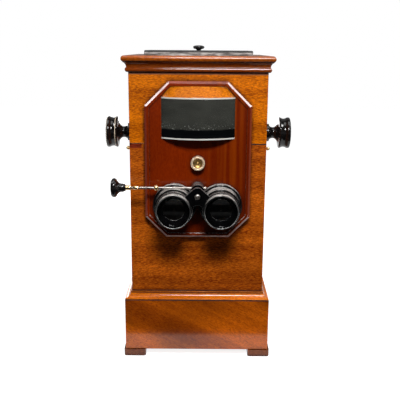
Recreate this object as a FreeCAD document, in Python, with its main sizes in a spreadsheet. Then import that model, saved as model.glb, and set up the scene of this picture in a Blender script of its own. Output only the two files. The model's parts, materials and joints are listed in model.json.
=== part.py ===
import FreeCAD, Part
import math
import os
import re

import Sketcher
from FreeCAD import Placement, Rotation, Vector

# A table-top revolving stereoscope. Millimetres, +Z up, the eyepieces face -Y.
# The origin lies on the table under the middle of the whole object, eyepieces included.

# Driving dimensions: the cells of the sheet
SIZES = {
    # stereo cards and their frames
    "card_width": 171.5,
    "card_height": 82.5,
    "card_thickness": 1.2,
    "frame_margin": 1.5,
    "frame_thickness": 3,
    "frame_back": 1.2,
    "frame_gap": 1,
    # the belt of cards: rollers, tapes, axle
    "roller_diameter": 86.8,
    "roller_room": 2,
    "roller_cheek": 26,
    "roller_core": 34,
    "tape_width": 14,
    "tape_thickness": 1,
    "tape_spacing": 124,
    "axle_diameter": 8,
    "bush_diameter": 14,
    "bearing_side": 30,
    "bearing_thickness": 12,
    # room inside the case
    "side_room": 1.75,
    "back_room": 2.7,
    "light_well": 57,
    # case, plinth and hood
    "board": 9,
    "foot_height": 10.4,
    "foot_side": 33,
    "foot_over": 2.5,
    "foot_round": 4,
    "plinth_height": 79.7,
    "plinth_over": 10,
    "plinth_board": 16,
    "floor_board": 8,
    "floor_rise": 14,
    "moulding_height": 11,
    "moulding_foot": 9.6,
    "moulding_lip": 1.6,
    "moulding_top": 2,
    "case_height": 234.9,
    "hood_height": 114.3,
    "hood_seam": 0.4,
    "cornice_height": 14.1,
    "cornice_over": 7.9,
    "cornice_bead": 6.6,
    "cornice_neck": 2.5,
    "cornice_foot": 1.5,
    "top_board": 8.5,
    "top_over": 9.2,
    "top_round": 4,
    # octagonal front panel
    "panel_width": 151,
    "panel_drop": 11.6,
    "panel_thickness": 12.4,
    "panel_below_eyes": 49.2,
    "panel_corner_top": 34,
    "panel_corner_bottom": 30,
    "panel_chamfer": 3,
    "panel_rim": 3.5,
    "panel_sink": 1.5,
    # bowed window
    "window_width": 103,
    "window_height": 57.9,
    "window_rise": 38.05,
    "window_bulge": 18,
    "glass_thickness": 2.5,
    "cap_thickness": 2,
    "window_border": 2,
    "roof_lip": 1,
    # sight opening and septum
    "sight_width": 122,
    "sight_height": 64,
    "septum_thickness": 3,
    "septum_height": 72,
    "septum_room": 6,
    # eyepieces, measured outwards from the sunk field of the panel
    "eye_spacing": 66,
    "flange_diameter": 62,
    "flange_thickness": 6.5,
    "flange_round": 1.5,
    "sleeve_diameter": 55,
    "sleeve_reach": 23.5,
    "sleeve_lip": 0.8,
    "spigot_diameter": 52,
    "tube_diameter": 48,
    "tube_wall": 2.2,
    "tube_tail": 8.5,
    "eyecup_diameter": 49.4,
    "eyecup_length": 9.6,
    "eyecup_lip": 1.5,
    "eyecup_mouth": 45.2,
    "eyepiece_reach": 48.1,
    "lens_diameter": 39.6,
    "lens_bulge": 2.4,
    "lens_edge": 2,
    "lens_sight": 31,
    "lens_depth": 18.2,
    "ring_length": 4,
    "ring_bore": 33,
    # bridge between the eyepieces
    "bridge_thickness": 5.2,
    "bridge_ring": 2,
    "bridge_arch": 8,
    "bridge_height": 33,
    "screw_head": 8,
    "screw_shank": 3,
    # rack and pinion focus
    "rod_diameter": 3.5,
    "rod_rise": 27.9,
    "rod_out": 17.5,
    "rod_overhang": 12,
    "pinion_radius": 4,
    "pinion_length": 7,
    "tooth_out": 0.45,
    "tooth_in": 0.75,
    "rack_tip": 0.4,
    "rack_width": 6,
    "rack_depth": 6,
    "rack_tail": 8,
    "housing_radius": 10,
    "housing_neck": 4.8,
    "housing_wall": 1.5,
    "bead_inset": 17.5,
    "bead_width": 6,
    "bead_diameter": 8.6,
    "collar_gap": 1.2,
    "collar_width": 8,
    "collar_diameter": 5.4,
    "ferrule_diameter": 7,
    "ferrule_length": 9,
    "focus_knob_diameter": 27.5,
    "focus_knob_length": 20.8,
    "focus_knob_rim": 8.3,
    "focus_knob_neck": 11.4,
    "focus_knob_inset": 3.2,
    # large side knobs
    "knob_diameter": 49.8,
    "knob_reach": 50,
    "knob_rim": 17,
    "knob_groove": 2,
    "knob_ring": 4.2,
    "knob_neck": 18.7,
    "knob_collar": 28.4,
    "knob_collar_length": 15,
    "knob_wall": 7,
    # top flap
    "flap_width": 156,
    "flap_depth": 104,
    "flap_height": 7,
    "flap_sheet": 1,
    "flap_setback": 30,
    "flap_lap": 12,
    "flap_round": 1.5,
    "mirror_thickness": 3,
    "flap_knob_diameter": 16.5,
    "flap_knob_height": 7.3,
    "flap_knob_stem": 7,
    "flap_knob_inset": 16,
    "flap_hinge_spacing": 90,
    # hinges: knuckle, pin and leaves
    "hinge_spacing": 120,
    "hinge_width": 30,
    "hinge_leaf": 18,
    "leaf_thickness": 1.2,
    "knuckle_diameter": 6,
    "hinge_pin": 3,
    "flap_knuckle": 4.4,
    "flap_pin": 2,
    "flap_leaf": 12,
    "flap_knuckle_length": 8,
    # push-button catch
    "button_drop": 25.4,
    "bezel_diameter": 20,
    "bezel_reach": 10,
    "button_diameter": 13.4,
    "button_sunk": 2.5,
    "button_length": 4.5,
    "button_stem": 4.4,
    "lever_drop": 20,
    "lever_width": 12,
    "lever_thickness": 1.2,
    "lever_standoff": 3,
    "lever_eye": 4.4,
    "lever_pin": 2,
    "nose_rise": 4,
    "nose_thickness": 1.6,
    "nose_bite": 2.2,
    # hooks on the sides
    "hook_setback": 40,
    "hook_drop": 12.4,
    "hook_length": 22,
    "hook_thickness": 1.6,
    "hook_width": 5,
    "hook_eye": 8.4,
    "hook_end": 10,
    "hook_play": 0.6,
    "peg_diameter": 3.6,
    "peg_reach": 9.2,
    "peg_ball": 5.6,
    "peg_flange": 6.4,
    "keeper_reach": 4.2,
    "keeper_head": 7,
    # clearances
    "running_gap": 0.05,
    "slide_gap": 0.15,
    "loose_gap": 0.3,
}

# Counts
CARDS = 8
PINION_TEETH = 12
RACK_TEETH = 12

# Lengths and places that follow from the driving dimensions
PLACES = {
    "frame_width": "card_width + 2 * frame_margin",
    "frame_height": "card_height + 2 * frame_margin",
    "pitch": "frame_height + frame_gap",
    "belt_radius": "roller_diameter / 2 + loose_gap + tape_thickness + running_gap",
    "loop_reach": "sqrt((belt_radius + frame_thickness)^2 + (frame_height / 2)^2)",
    "body_width": "frame_width + 2 * side_room + 2 * board",
    "body_depth": "2 * board + back_room + 2 * loop_reach + light_well",
    "half_width": "body_width / 2",
    "half_depth": "body_depth / 2",
    "inner_width": "half_width - board",
    "front_y": "(panel_thickness - panel_sink + eyepiece_reach - body_depth - plinth_over - foot_over) / 2",
    "back_y": "front_y + body_depth",
    "middle_y": "front_y + half_depth",
    "inner_front": "front_y + board",
    "panel_y": "front_y - panel_thickness",
    "field_y": "panel_y + panel_sink",
    "field_depth": "panel_thickness - panel_sink",
    "plinth_top": "foot_height + plinth_height",
    "split_z": "plinth_top + case_height",
    "hood_z": "split_z + hood_seam",
    "hood_top": "split_z + hood_height",
    "top_z": "hood_top + top_board",
    "axle_y": "back_y - board - back_room - loop_reach",
    "eye_z": "split_z - pitch",
    "eye_x": "eye_spacing / 2",
    "panel_bottom": "eye_z - panel_below_eyes",
    "panel_height": "hood_top - cornice_height - panel_drop - (panel_bottom)",
    "field_inset": "panel_chamfer + panel_rim",
    "window_z": "split_z + window_rise",
    "window_low": "window_z - window_height / 2",
    "window_high": "window_z + window_height / 2",
    "window_bow": "((window_width / 2)^2 + window_bulge^2) / (2 * window_bulge)",
    "roof_height": "panel_bottom + panel_height - (field_inset) - (window_high) - slide_gap",
    "roof_half": "panel_width / 2 - panel_corner_top + (1 - sqrt(2)) * (field_inset) - slide_gap",
    "roof_bow": "((roof_half)^2 + roof_lip^2) / (2 * roof_lip)",
    "rod_z": "eye_z + rod_rise",
    "rod_y": "field_y - rod_out",
    "rack_z": "rod_z - pinion_radius - running_gap",
    "rack_low": "rack_z - tooth_in - rack_depth",
    "tooth_pitch": "2 * pi * pinion_radius / %d" % PINION_TEETH,
    "tooth_half": "0.21 * tooth_pitch",
    "screw_z": "rack_z - tooth_in - rack_depth / 2",
    "screw_length": "bridge_thickness + rack_depth",
    "housing_top": "rod_rise + pinion_radius + tooth_out + housing_wall",
    "housing_low": "rod_rise - pinion_radius - tooth_in - rack_depth - 2 * housing_wall",
    "housing_shoulder": "rod_rise - pinion_radius - tooth_in - rack_depth / 2",
    "tube_radius": "tube_diameter / 2",
    "bridge_front": "eyepiece_reach - eyecup_length",
    "bridge_rear": "bridge_front - bridge_thickness",
    "lens_seat": "eyepiece_reach - lens_depth",
    "lens_apex": "lens_seat + lens_bulge * (lens_sight / lens_diameter)^2 - slide_gap",
    "lens_length": "2 * lens_bulge + lens_edge",
    "ring_front": "lens_apex - (lens_length) + lens_bulge * (ring_bore / lens_diameter)^2 - slide_gap",
    "ring_rear": "ring_front - ring_length",
    "loop_drop": "%d * pitch / 2 - pi * belt_radius" % CARDS,
    "idler_z": "split_z - loop_drop",
    "button_z": "split_z - button_drop",
    "button_tail": "field_depth + board + lever_standoff - lever_thickness / 2 - loose_gap",
    "lever_z": "button_z - lever_drop",
    "lever_y": "inner_front + lever_standoff",
    "flap_front": "front_y + flap_setback",
    "flap_back": "flap_front + flap_depth",
    "flap_pin_y": "flap_back + flap_knuckle / 2 + slide_gap",
    "flap_pin_z": "top_z + flap_knuckle / 2 + loose_gap",
    "hinge_y": "back_y + knuckle_diameter / 2",
    "hook_y": "front_y + hook_setback",
    "hook_z": "split_z - hook_drop",
    "keeper_z": "hook_z + hook_length",
    "plate_x": "half_width + loose_gap",
    "peg_neck": "hook_thickness + 2 * loose_gap",
    "bead_x": "panel_width / 2 - bead_inset",
    "collar_x": "half_width + focus_knob_inset - ferrule_length - collar_gap - collar_width / 2",
    "roller_length": "2 * (inner_width - bearing_thickness - roller_room)",
}

SIDES = ("front", "right", "back", "left")

# Orientations of a flat outline: which way its thickness grows
PLAN = Rotation()
FACING_FRONT = Rotation(Vector(1, 0, 0), 90)
FACING_RIGHT = Rotation(Vector(1, 1, 1), 120)

# Orientations of a turned piece: which way its axis points
ALONG_RIGHT = Rotation()
ALONG_LEFT = Rotation(Vector(0, 0, 1), 180)
ALONG_FRONT = Rotation(Vector(0, 0, 1), -90)
ALONG_UP = Rotation(Vector(0, 1, 0), -90)

CCW = 1
CW = -1

doc = FreeCAD.newDocument("stereoscope")
sheet = doc.addObject("Spreadsheet::Sheet", "dims")
for row, (alias, size) in enumerate(SIZES.items(), start=1):
    sheet.set("A%d" % row, alias)
    sheet.set("B%d" % row, str(size))
    sheet.setAlias("B%d" % row, alias)
doc.recompute()


# Expressions

def full(text):
    """An expression with its named lengths written out as cells of the sheet."""
    def cell(match):
        name = match.group(0)
        if name in PLACES:
            return "(" + full(PLACES[name]) + ")"
        return "dims." + name if name in SIZES else name
    return re.sub(r"[a-z_]+", cell, str(text))


def value(text):
    """The number that an expression stands for at the sheet's sizes."""
    return float(sheet.evalExpression(full(text)))


def minus(text):
    return "0" if text == "0" else "-(%s)" % text


def bind(item, cells):
    for prop, text in cells.items():
        item.setExpression(prop, full(text))


def place(item, at, turn=PLAN):
    item.Placement = Placement(Vector(), turn)
    bind(item, {"Placement.Base.x": at[0], "Placement.Base.y": at[1], "Placement.Base.z": at[2]})


# Solids made of primitives

def block(label, x, y, z):
    """A box between two planes on each axis."""
    item = doc.addObject("Part::Box", label)
    bind(item, {
        "Length": "(%s) - (%s)" % (x[1], x[0]),
        "Width": "(%s) - (%s)" % (y[1], y[0]),
        "Height": "(%s) - (%s)" % (z[1], z[0]),
    })
    place(item, (x[0], y[0], z[0]))
    return item


def round_bar(label, at, radius, length, turn=ALONG_RIGHT):
    """A cylinder that starts at a point and runs along the turned X axis."""
    item = doc.addObject("Part::Cylinder", label)
    bind(item, {"Radius": radius, "Height": length})
    place(item, at, turn * Rotation(Vector(0, 1, 0), 90))
    return item


def ball(label, at, radius):
    item = doc.addObject("Part::Sphere", label)
    bind(item, {"Radius": radius})
    place(item, at)
    return item


def cut(label, base, *tools):
    for number, tool in enumerate(tools):
        last = number == len(tools) - 1
        item = doc.addObject("Part::Cut", label if last else label + "_cut")
        item.Base = base
        item.Tool = tool
        base = item
    return base


def fuse(label, *shapes):
    item = doc.addObject("Part::MultiFuse", label)
    item.Shapes = list(shapes)
    return item


def common(label, one, other):
    item = doc.addObject("Part::Common", label)
    item.Base = one
    item.Tool = other
    return item


def group(label, *shapes):
    """Like pieces that share one node, each still its own solid."""
    item = doc.addObject("Part::Compound", label)
    item.Links = list(shapes)
    return item


# Sketches: corners are (u, v), arcs are (u, v, radius, turn) and end at their corner

def fix(sketch, geometry, vertex, axis, text):
    if text == "0":
        line = -2 if axis == "X" else -1
        sketch.addConstraint(Sketcher.Constraint("PointOnObject", geometry, vertex, line))
        return
    rule = Sketcher.Constraint("Distance" + axis, -1, 1, geometry, vertex, value(text))
    sketch.setExpression("Constraints[%d]" % sketch.addConstraint(rule), full(text))


def fix_radius(sketch, geometry, text):
    rule = Sketcher.Constraint("Radius", geometry, value(text))
    sketch.setExpression("Constraints[%d]" % sketch.addConstraint(rule), full(text))


def arc_between(start, end, radius, turn):
    """The shorter arc from one point to another, anticlockwise or clockwise."""
    chord = end - start
    across = Vector(-chord.y, chord.x, 0).normalize() * turn
    rise = math.sqrt(max(radius ** 2 - (chord.Length / 2) ** 2, 0))
    centre = (start + end) / 2 + across * rise
    first, last = (start, end) if turn == CCW else (end, start)
    angles = [math.atan2(point.y - centre.y, point.x - centre.x) for point in (first, last)]
    return Part.ArcOfCircle(Part.Circle(centre, Vector(0, 0, 1), radius), *angles)


def draw_circle(sketch, u, v, radius):
    circle = Part.Circle(Vector(value(u), value(v), 0), Vector(0, 0, 1), value(radius))
    geometry = sketch.addGeometry(circle, False)
    fix(sketch, geometry, 3, "X", u)
    fix(sketch, geometry, 3, "Y", v)
    fix_radius(sketch, geometry, radius)


def draw_outline(sketch, corners):
    points = [Vector(value(corner[0]), value(corner[1]), 0) for corner in corners]
    ends = []
    for number, start in enumerate(points):
        target = corners[(number + 1) % len(corners)]
        end = points[(number + 1) % len(points)]
        if len(target) == 2:
            ends.append((sketch.addGeometry(Part.LineSegment(start, end), False), 1, 2))
            continue
        radius, turn = target[2:]
        geometry = sketch.addGeometry(arc_between(start, end, value(radius), turn), False)
        ends.append((geometry, 1, 2) if turn == CCW else (geometry, 2, 1))
    for number, (geometry, first, last) in enumerate(ends):
        following = ends[(number + 1) % len(ends)]
        sketch.addConstraint(Sketcher.Constraint("Coincident", geometry, last, following[0], following[1]))
    for number, (geometry, first, last) in enumerate(ends):
        fix(sketch, geometry, first, "X", corners[number][0])
        fix(sketch, geometry, first, "Y", corners[number][1])
        target = corners[(number + 1) % len(corners)]
        if len(target) == 4:
            fix_radius(sketch, geometry, target[2])


def mirrored(right):
    """A closed outline from its right half, given from bottom to top."""
    left = []
    for number in reversed(range(len(right))):
        u, v = right[number][:2]
        arc = right[number + 1][2:] if number + 1 < len(right) else ()
        if u != "0":
            left.append((minus(u), v) + tuple(arc))
    return list(right) + left


def rectangle(u, v):
    return [(u[0], v[0]), (u[1], v[0]), (u[1], v[1]), (u[0], v[1])]


def new_body(label, at, turn):
    body = doc.addObject("PartDesign::Body", label)
    place(body, at, turn)
    return body


def draw(body, outlines, circles=(), lift="0"):
    """A sketch on the body's own ground plane, or lifted above it."""
    sketch = body.newObject("Sketcher::SketchObject", "outline")
    plane = next(item for item in body.Origin.OriginFeatures if item.Role == "XY_Plane")
    sketch.AttachmentSupport = (plane, [""])
    sketch.MapMode = "FlatFace"
    bind(sketch, {"AttachmentOffset.Base.z": lift})
    for corners in outlines:
        draw_outline(sketch, corners)
    for circle in circles:
        draw_circle(sketch, *circle)
    return sketch


def pad(body, length, outlines, circles=(), lift="0"):
    item = body.newObject("PartDesign::Pad", "pad")
    item.Profile = draw(body, outlines, circles, lift)
    bind(item, {"Length": length})
    return item


def pocket(body, depth, outlines, circles=(), lift="0"):
    """A cut from a lifted outline down towards the body's ground plane."""
    item = body.newObject("PartDesign::Pocket", "pocket")
    item.Profile = draw(body, outlines, circles, lift)
    bind(item, {"Length": depth})
    return item


def flat_piece(label, at, turn, thickness, outlines, circles=()):
    body = new_body(label, at, turn)
    pad(body, thickness, outlines, circles)
    return body


def turned_piece(label, at, turn, profile):
    """A lathe piece: u runs along its axis and v is the radius."""
    body = new_body(label, at, turn)
    item = body.newObject("PartDesign::Revolution", "turned")
    item.Profile = draw(body, [profile])
    item.ReferenceAxis = (item.Profile[0], ["H_Axis"])
    item.Angle = 360
    return body


def upright(edge):
    return abs(edge.Vertexes[0].Z - edge.Vertexes[-1].Z) > 0.1


def level(edge):
    return not upright(edge)


def above_ground(edge):
    return max(vertex.Z for vertex in edge.Vertexes) > 0.1


def on_top(edge):
    return min(vertex.Z for vertex in edge.Vertexes) > 0.1


def dress_edges(body, kind, feature, size, wanted):
    """A fillet or chamfer on the edges of a feature that pass a test."""
    doc.recompute()
    names = ["Edge%d" % number for number, edge in enumerate(feature.Shape.Edges, start=1) if wanted(edge)]
    item = body.newObject("PartDesign::" + kind, kind.lower())
    item.Base = (feature, names)
    bind(item, {"Radius" if kind == "Fillet" else "Size": size})
    return item


# Mitred strips round the case: u is outwards from the case's face, v is up

def from_centre(side, along, out):
    """A place on one side of the case, from the case's centre line."""
    x, y = {
        "front": (along, minus(out)),
        "right": (out, along),
        "back": (minus(along), out),
        "left": (minus(out), minus(along)),
    }[side]
    return x, "middle_y + (%s)" % y


def run_of(side):
    """How far the case's face on one side stands from its centre, and half the length of that face."""
    return ("half_depth", "half_width") if side in ("front", "back") else ("half_width", "half_depth")


def turn_of(side):
    return Rotation(Vector(0, 0, 1), 90 * SIDES.index(side) - 90)


def mitred_board(label, side, inner, outer, low, high):
    """A plain board along one side, its ends cut at 45 degrees."""
    face, half = run_of(side)
    board = new_body(label, from_centre(side, "0", face) + (low,), turn_of(side))
    pad(board, "(%s) - (%s)" % (high, low), [[
        (inner, minus("%s + %s" % (half, inner))),
        (outer, minus("%s + %s" % (half, outer))),
        (outer, "%s + %s" % (half, outer)),
        (inner, "%s + %s" % (half, inner)),
    ]])
    return board


def mitred_strip(label, side, profile, inner, outer, low, high):
    """A strip along one side with a profile, kept where a mitred board would lie."""
    face, half = run_of(side)
    reach = "%s + %s" % (half, outer)
    strip = new_body(label + "_strip", from_centre(side, reach, face) + (low,), turn_of(side) * FACING_FRONT)
    pad(strip, "2 * (%s)" % reach, [profile])
    return common(label, strip, mitred_board(label + "_mitre", side, inner, outer, low, high))


def moulding(label, profile, inner, outer, low, high):
    return group(label, *[mitred_strip("%s_%s" % (label, side), side, profile, inner, outer, low, high)
                          for side in SIDES])


# Plinth

def build_feet():
    """Corner blocks with their upright edges rounded."""
    blocks = []
    reach_x = "(half_width + plinth_over + foot_over)"
    reach_y = "(half_depth + plinth_over + foot_over)"
    for x in ("-" + reach_x, reach_x + " - foot_side"):
        for y in ("-" + reach_y, reach_y + " - foot_side"):
            foot = new_body("foot", (x, "middle_y + (%s)" % y, "0"), PLAN)
            square = pad(foot, "foot_height", [rectangle(("0", "foot_side"), ("0", "foot_side"))])
            dress_edges(foot, "Fillet", square, "foot_round", upright)
            blocks.append(foot)
    return group("feet", *blocks)


def build_plinth():
    """Four mitred boards with a cove moulding on top, and the floor inside them."""
    inner = "plinth_over - plinth_board"
    boards = [mitred_board("plinth_" + side, side, inner, "plinth_over", "foot_height", "plinth_top")
              for side in SIDES]
    cove = [
        ("0", "0"),
        ("moulding_foot", "0"),
        ("moulding_foot", "moulding_lip"),
        ("moulding_top", "moulding_height - moulding_top", "moulding_foot", CW),
        ("moulding_top", "moulding_height"),
        ("0", "moulding_height"),
    ]
    base = moulding("base_moulding", cove, "0", "moulding_foot", "plinth_top", "plinth_top + moulding_height")
    half_x = "(half_width + %s - slide_gap)" % inner
    half_y = "(half_depth + %s - slide_gap)" % inner
    low = "foot_height + floor_rise"
    floor = block("floor_board", ("-" + half_x, half_x), ("middle_y - " + half_y, "middle_y + " + half_y),
                  (low, low + " + floor_board"))
    return group("plinth_boards", *boards), base, floor


# Lower case and hood boards

def sight_opening(label):
    return block(label, ("-sight_width / 2", "sight_width / 2"),
                 ("front_y - board", "inner_front + board"),
                 ("eye_z - sight_height / 2", "eye_z + sight_height / 2"))


def stem_hole(label):
    return round_bar(label, ("0", "inner_front + board", "button_z"), "button_stem / 2 + loose_gap",
                     "3 * board", ALONG_FRONT)


def bush_hole(label):
    return round_bar(label, ("-body_width", "axle_y", "split_z"), "bush_diameter / 2 + running_gap",
                     "2 * body_width")


def four_walls(name, low, high, front_cuts):
    """Front and back boards over the full width, and side boards between them."""
    across = ("-half_width", "half_width")
    between = ("inner_front", "back_y - board")
    front = block(name + "_front_blank", across, ("front_y", "inner_front"), (low, high))
    walls = [cut(name + "_front", front, *front_cuts)]
    walls.append(block(name + "_back", across, ("back_y - board", "back_y"), (low, high)))
    for side, x in (("left", ("-half_width", "-inner_width")), ("right", ("inner_width", "half_width"))):
        blank = block("%s_%s_blank" % (name, side), x, between, (low, high))
        walls.append(cut("%s_%s" % (name, side), blank, bush_hole("bush_hole")))
    return walls


def build_case():
    return four_walls("case", "plinth_top", "split_z", [sight_opening("sight"), stem_hole("stem_way")])


def window_opening(label):
    half_x = "(window_width / 2 + window_border)"
    half_z = "(window_height / 2 + window_border)"
    return block(label, ("-" + half_x, half_x), ("front_y - board", "inner_front + board"),
                 ("window_z - " + half_z, "window_z + " + half_z))


def catch_mortise(label):
    """The slot inside the hood's lower rail that the catch's nose bites into."""
    half_x = "(lever_width / 2 + 2 * loose_gap)"
    low = "split_z + nose_rise"
    return block(label, ("-" + half_x, half_x),
                 ("inner_front - nose_bite - 2 * loose_gap", "inner_front + board"),
                 (low + " - 2 * loose_gap", low + " + nose_thickness + 2 * loose_gap"))


def build_hood():
    walls = four_walls("hood", "hood_z", "hood_top", [window_opening("light"), catch_mortise("mortise")])
    profile = [
        ("0", "0"),
        ("cornice_foot", "0"),
        ("cornice_neck", "cornice_bead", "0.55 * cornice_bead", CCW),
        ("cornice_over", "cornice_height", "cornice_height - cornice_bead", CW),
        ("0", "cornice_height"),
    ]
    cornice = moulding("cornice", profile, "0", "cornice_over", "hood_top - cornice_height", "hood_top")
    return walls + [build_top_board(), cornice]


def build_top_board():
    """Bullnosed board with the light opening that the flap covers."""
    body = new_body("top_board", ("0", "middle_y", "hood_top"), PLAN)
    half_x = "(half_width + top_over)"
    half_y = "(half_depth + top_over)"
    slab = pad(body, "top_board", [rectangle(("-" + half_x, half_x), ("-" + half_y, half_y))])
    dress_edges(body, "Fillet", slab, "top_round", level)
    half_light = "(flap_width / 2 - flap_lap)"
    light = rectangle(("-" + half_light, half_light),
                      ("flap_front + flap_lap - (middle_y)", "flap_back - flap_lap - (middle_y)"))
    pocket(body, "top_board", [light], lift="top_board")
    return body


# Front panel and window

def octagon(inset):
    """The panel's outline, or one inside it at an even distance."""
    half = "panel_width / 2 - (%s)" % inset
    low = "panel_corner_bottom - (2 - sqrt(2)) * (%s)" % inset
    high = "panel_corner_top - (2 - sqrt(2)) * (%s)" % inset
    top = "panel_height - (%s)" % inset
    return mirrored([
        ("%s - (%s)" % (half, low), inset),
        (half, "%s + %s" % (inset, low)),
        (half, "%s - (%s)" % (top, high)),
        ("%s - (%s)" % (half, high), top),
    ])


def build_front_panel():
    """Octagon with a chamfered edge, a raised rim and a sunk field, pierced for all it carries."""
    body = new_body("front_panel", ("0", "front_y", "panel_bottom"), FACING_FRONT)
    slab = pad(body, "panel_thickness", [octagon("0")])
    dress_edges(body, "Chamfer", slab, "panel_chamfer", on_top)
    pocket(body, "panel_sink", [octagon("field_inset")], lift="panel_thickness")
    half_window = "(window_width / 2 + slide_gap)"
    half_rack = "(rack_width / 2 + slide_gap)"
    window = rectangle(("-" + half_window, half_window),
                       ("window_low - slide_gap - (panel_bottom)",
                        "window_high + slide_gap - (panel_bottom)"))
    slot = rectangle(("-" + half_rack, half_rack), ("rack_low - slide_gap - (panel_bottom)",
                                                    "rack_z + tooth_out + slide_gap - (panel_bottom)"))
    eye_hole = "spigot_diameter / 2 + running_gap"
    circles = [
        ("eye_x", "panel_below_eyes", eye_hole),
        ("-eye_x", "panel_below_eyes", eye_hole),
        ("0", "button_z - (panel_bottom)", "button_stem / 2 + loose_gap"),
    ]
    pocket(body, "panel_thickness", [window, slot], circles, lift="panel_thickness")
    return body


def build_window():
    """Bent glass bowed towards the viewer, closed above and below by crescent caps."""
    half = "window_width / 2"
    front = [(minus(half), "0"), (half, "0", "window_bow", CCW), (half, "glass_thickness")]
    bent = front + [(minus(half), "glass_thickness", "window_bow", CW)]
    solid = front + [(minus(half), "glass_thickness")]
    glass = flat_piece("window_glass", ("0", "field_y", "window_low + cap_thickness"), PLAN,
                       "window_height - 2 * cap_thickness", [bent])
    caps = [flat_piece("window_cap", ("0", "field_y", z), PLAN, "cap_thickness", [solid])
            for z in ("window_low", "window_high - cap_thickness")]
    return glass, group("window_caps", *caps), build_window_roof(half)


def build_window_roof(half):
    """Wooden slope that runs from the panel's upper rim out to the bowed glass."""
    body = new_body("window_roof", ("0", "field_y", "window_high"), PLAN)
    eaves = draw(body, [[(minus(half), "0"), (half, "0", "window_bow", CCW)]])
    ridge = draw(body, [[("-(roof_half)", "0"), ("roof_half", "0", "roof_bow", CCW)]], lift="roof_height")
    slope = body.newObject("PartDesign::AdditiveLoft", "slope")
    slope.Profile = eaves
    slope.Sections = [ridge]
    slope.Ruled = True
    return body


def build_septum():
    """Upright divider that keeps each eye to its own half of the card."""
    return block("septum", ("-septum_thickness / 2", "septum_thickness / 2"),
                 ("inner_front", "axle_y - belt_radius - frame_thickness - septum_room"),
                 ("eye_z - septum_height / 2", "eye_z + septum_height / 2"))


# Eyepieces: u runs outwards from the panel's field

EYES = (("left", "-eye_x"), ("right", "eye_x"))


def build_sleeves():
    """Fixed flanged sleeves; the focus rod crosses the left one in a notch."""
    bore = "tube_radius + slide_gap"
    profile = [
        ("-field_depth", bore),
        ("sleeve_reach", bore),
        ("sleeve_reach", "sleeve_diameter / 2 - sleeve_lip"),
        ("sleeve_reach - sleeve_lip", "sleeve_diameter / 2", "sleeve_lip", CCW),
        ("flange_thickness", "sleeve_diameter / 2"),
        ("flange_thickness", "flange_diameter / 2 - flange_round"),
        ("flange_thickness - flange_round", "flange_diameter / 2", "flange_round", CCW),
        ("0", "flange_diameter / 2"),
        ("0", "spigot_diameter / 2"),
        ("-field_depth", "spigot_diameter / 2"),
    ]
    blank, right = [turned_piece(label, (x, "field_y", "eye_z"), ALONG_FRONT, profile)
                    for label, (side, x) in zip(("sleeve_blank", "sleeve_right"), EYES)]
    notch = round_bar("rod_notch", ("-body_width", "rod_y", "rod_z"), "rod_diameter / 2 + loose_gap",
                      "body_width")
    return cut("sleeve_left", blank, notch), right


def build_eyepieces():
    """Sliding tubes with a flared eyecup, each holding a lens behind a screwed ring."""
    profile = [
        ("-tube_tail", "tube_radius - tube_wall"),
        ("ring_rear", "tube_radius - tube_wall"),
        ("ring_rear", "lens_diameter / 2 + slide_gap"),
        ("lens_seat", "lens_diameter / 2 + slide_gap"),
        ("lens_seat", "lens_sight / 2"),
        ("lens_seat + lens_bulge", "lens_sight / 2"),
        ("eyepiece_reach", "eyecup_mouth / 2", "eyecup_mouth / 2", CW),
        ("eyepiece_reach", "eyecup_diameter / 2 - eyecup_lip"),
        ("eyepiece_reach - eyecup_lip", "eyecup_diameter / 2", "eyecup_lip", CCW),
        ("bridge_front", "eyecup_diameter / 2"),
        ("bridge_front", "tube_radius"),
        ("-tube_tail", "tube_radius"),
    ]
    return [turned_piece("eyepiece_" + side, (x, "field_y", "eye_z"), ALONG_FRONT, profile)
            for side, x in EYES]


def build_lenses():
    rim = "lens_diameter / 2"
    curve = "((%s)^2 + lens_bulge^2) / (2 * lens_bulge)" % rim
    lens = [
        ("-(lens_length)", "0", curve, CCW),
        ("0", "0"),
        ("-lens_bulge", rim, curve, CCW),
        ("-(lens_bulge + lens_edge)", rim),
    ]
    ring = rectangle(("ring_rear", "ring_front"), ("ring_bore / 2", rim))
    lenses = [turned_piece("lens_" + side, (x, "field_y - lens_apex", "eye_z"), ALONG_FRONT, lens)
              for side, x in EYES]
    rings = [turned_piece("ring_" + side, (x, "field_y", "eye_z"), ALONG_FRONT, ring) for side, x in EYES]
    return lenses + [group("lens_rings", *rings)]


def build_bridge():
    """Yoke that joins the two tubes: two rings and a bell-shaped plate with its screw."""
    seat = "(tube_radius + bridge_ring / 2)"
    bell = mirrored([
        ("eye_x - %s * cos(10 deg)" % seat, seat + " * sin(10 deg)", "1.5 * bridge_arch", CW),
        ("eye_x - %s * cos(52 deg)" % seat, seat + " * sin(52 deg)"),
        ("bridge_arch * cos(45 deg)", "bridge_height - bridge_arch * (1 - sin(45 deg))"),
        ("0", "bridge_height", "bridge_arch", CCW),
    ])
    plate = flat_piece("bridge_plate", ("0", "field_y - bridge_rear", "eye_z"), FACING_FRONT,
                       "bridge_thickness", [bell])
    rings = [round_bar("bridge_ring", (x, "field_y - bridge_rear", "eye_z"), "tube_radius + bridge_ring",
                       "bridge_thickness", ALONG_FRONT) for side, x in EYES]
    holes = [round_bar("tube_hole", (x, "field_y", "eye_z"), "tube_radius + running_gap",
                       "eyepiece_reach", ALONG_FRONT) for side, x in EYES]
    bridge = cut("bridge", fuse("bridge_blank", plate, *rings), *holes, screw_hole("bridge_screw_hole"))
    screw = turned_piece("bridge_screw", ("0", "field_y - bridge_front", "screw_z"), ALONG_FRONT, [
        ("-screw_length", "0"),
        ("screw_head / 4", "0"),
        ("0", "screw_head / 2", "screw_head * 5 / 8", CCW),
        ("0", "screw_shank / 2"),
        ("-screw_length", "screw_shank / 2"),
    ])
    return bridge, screw


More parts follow.
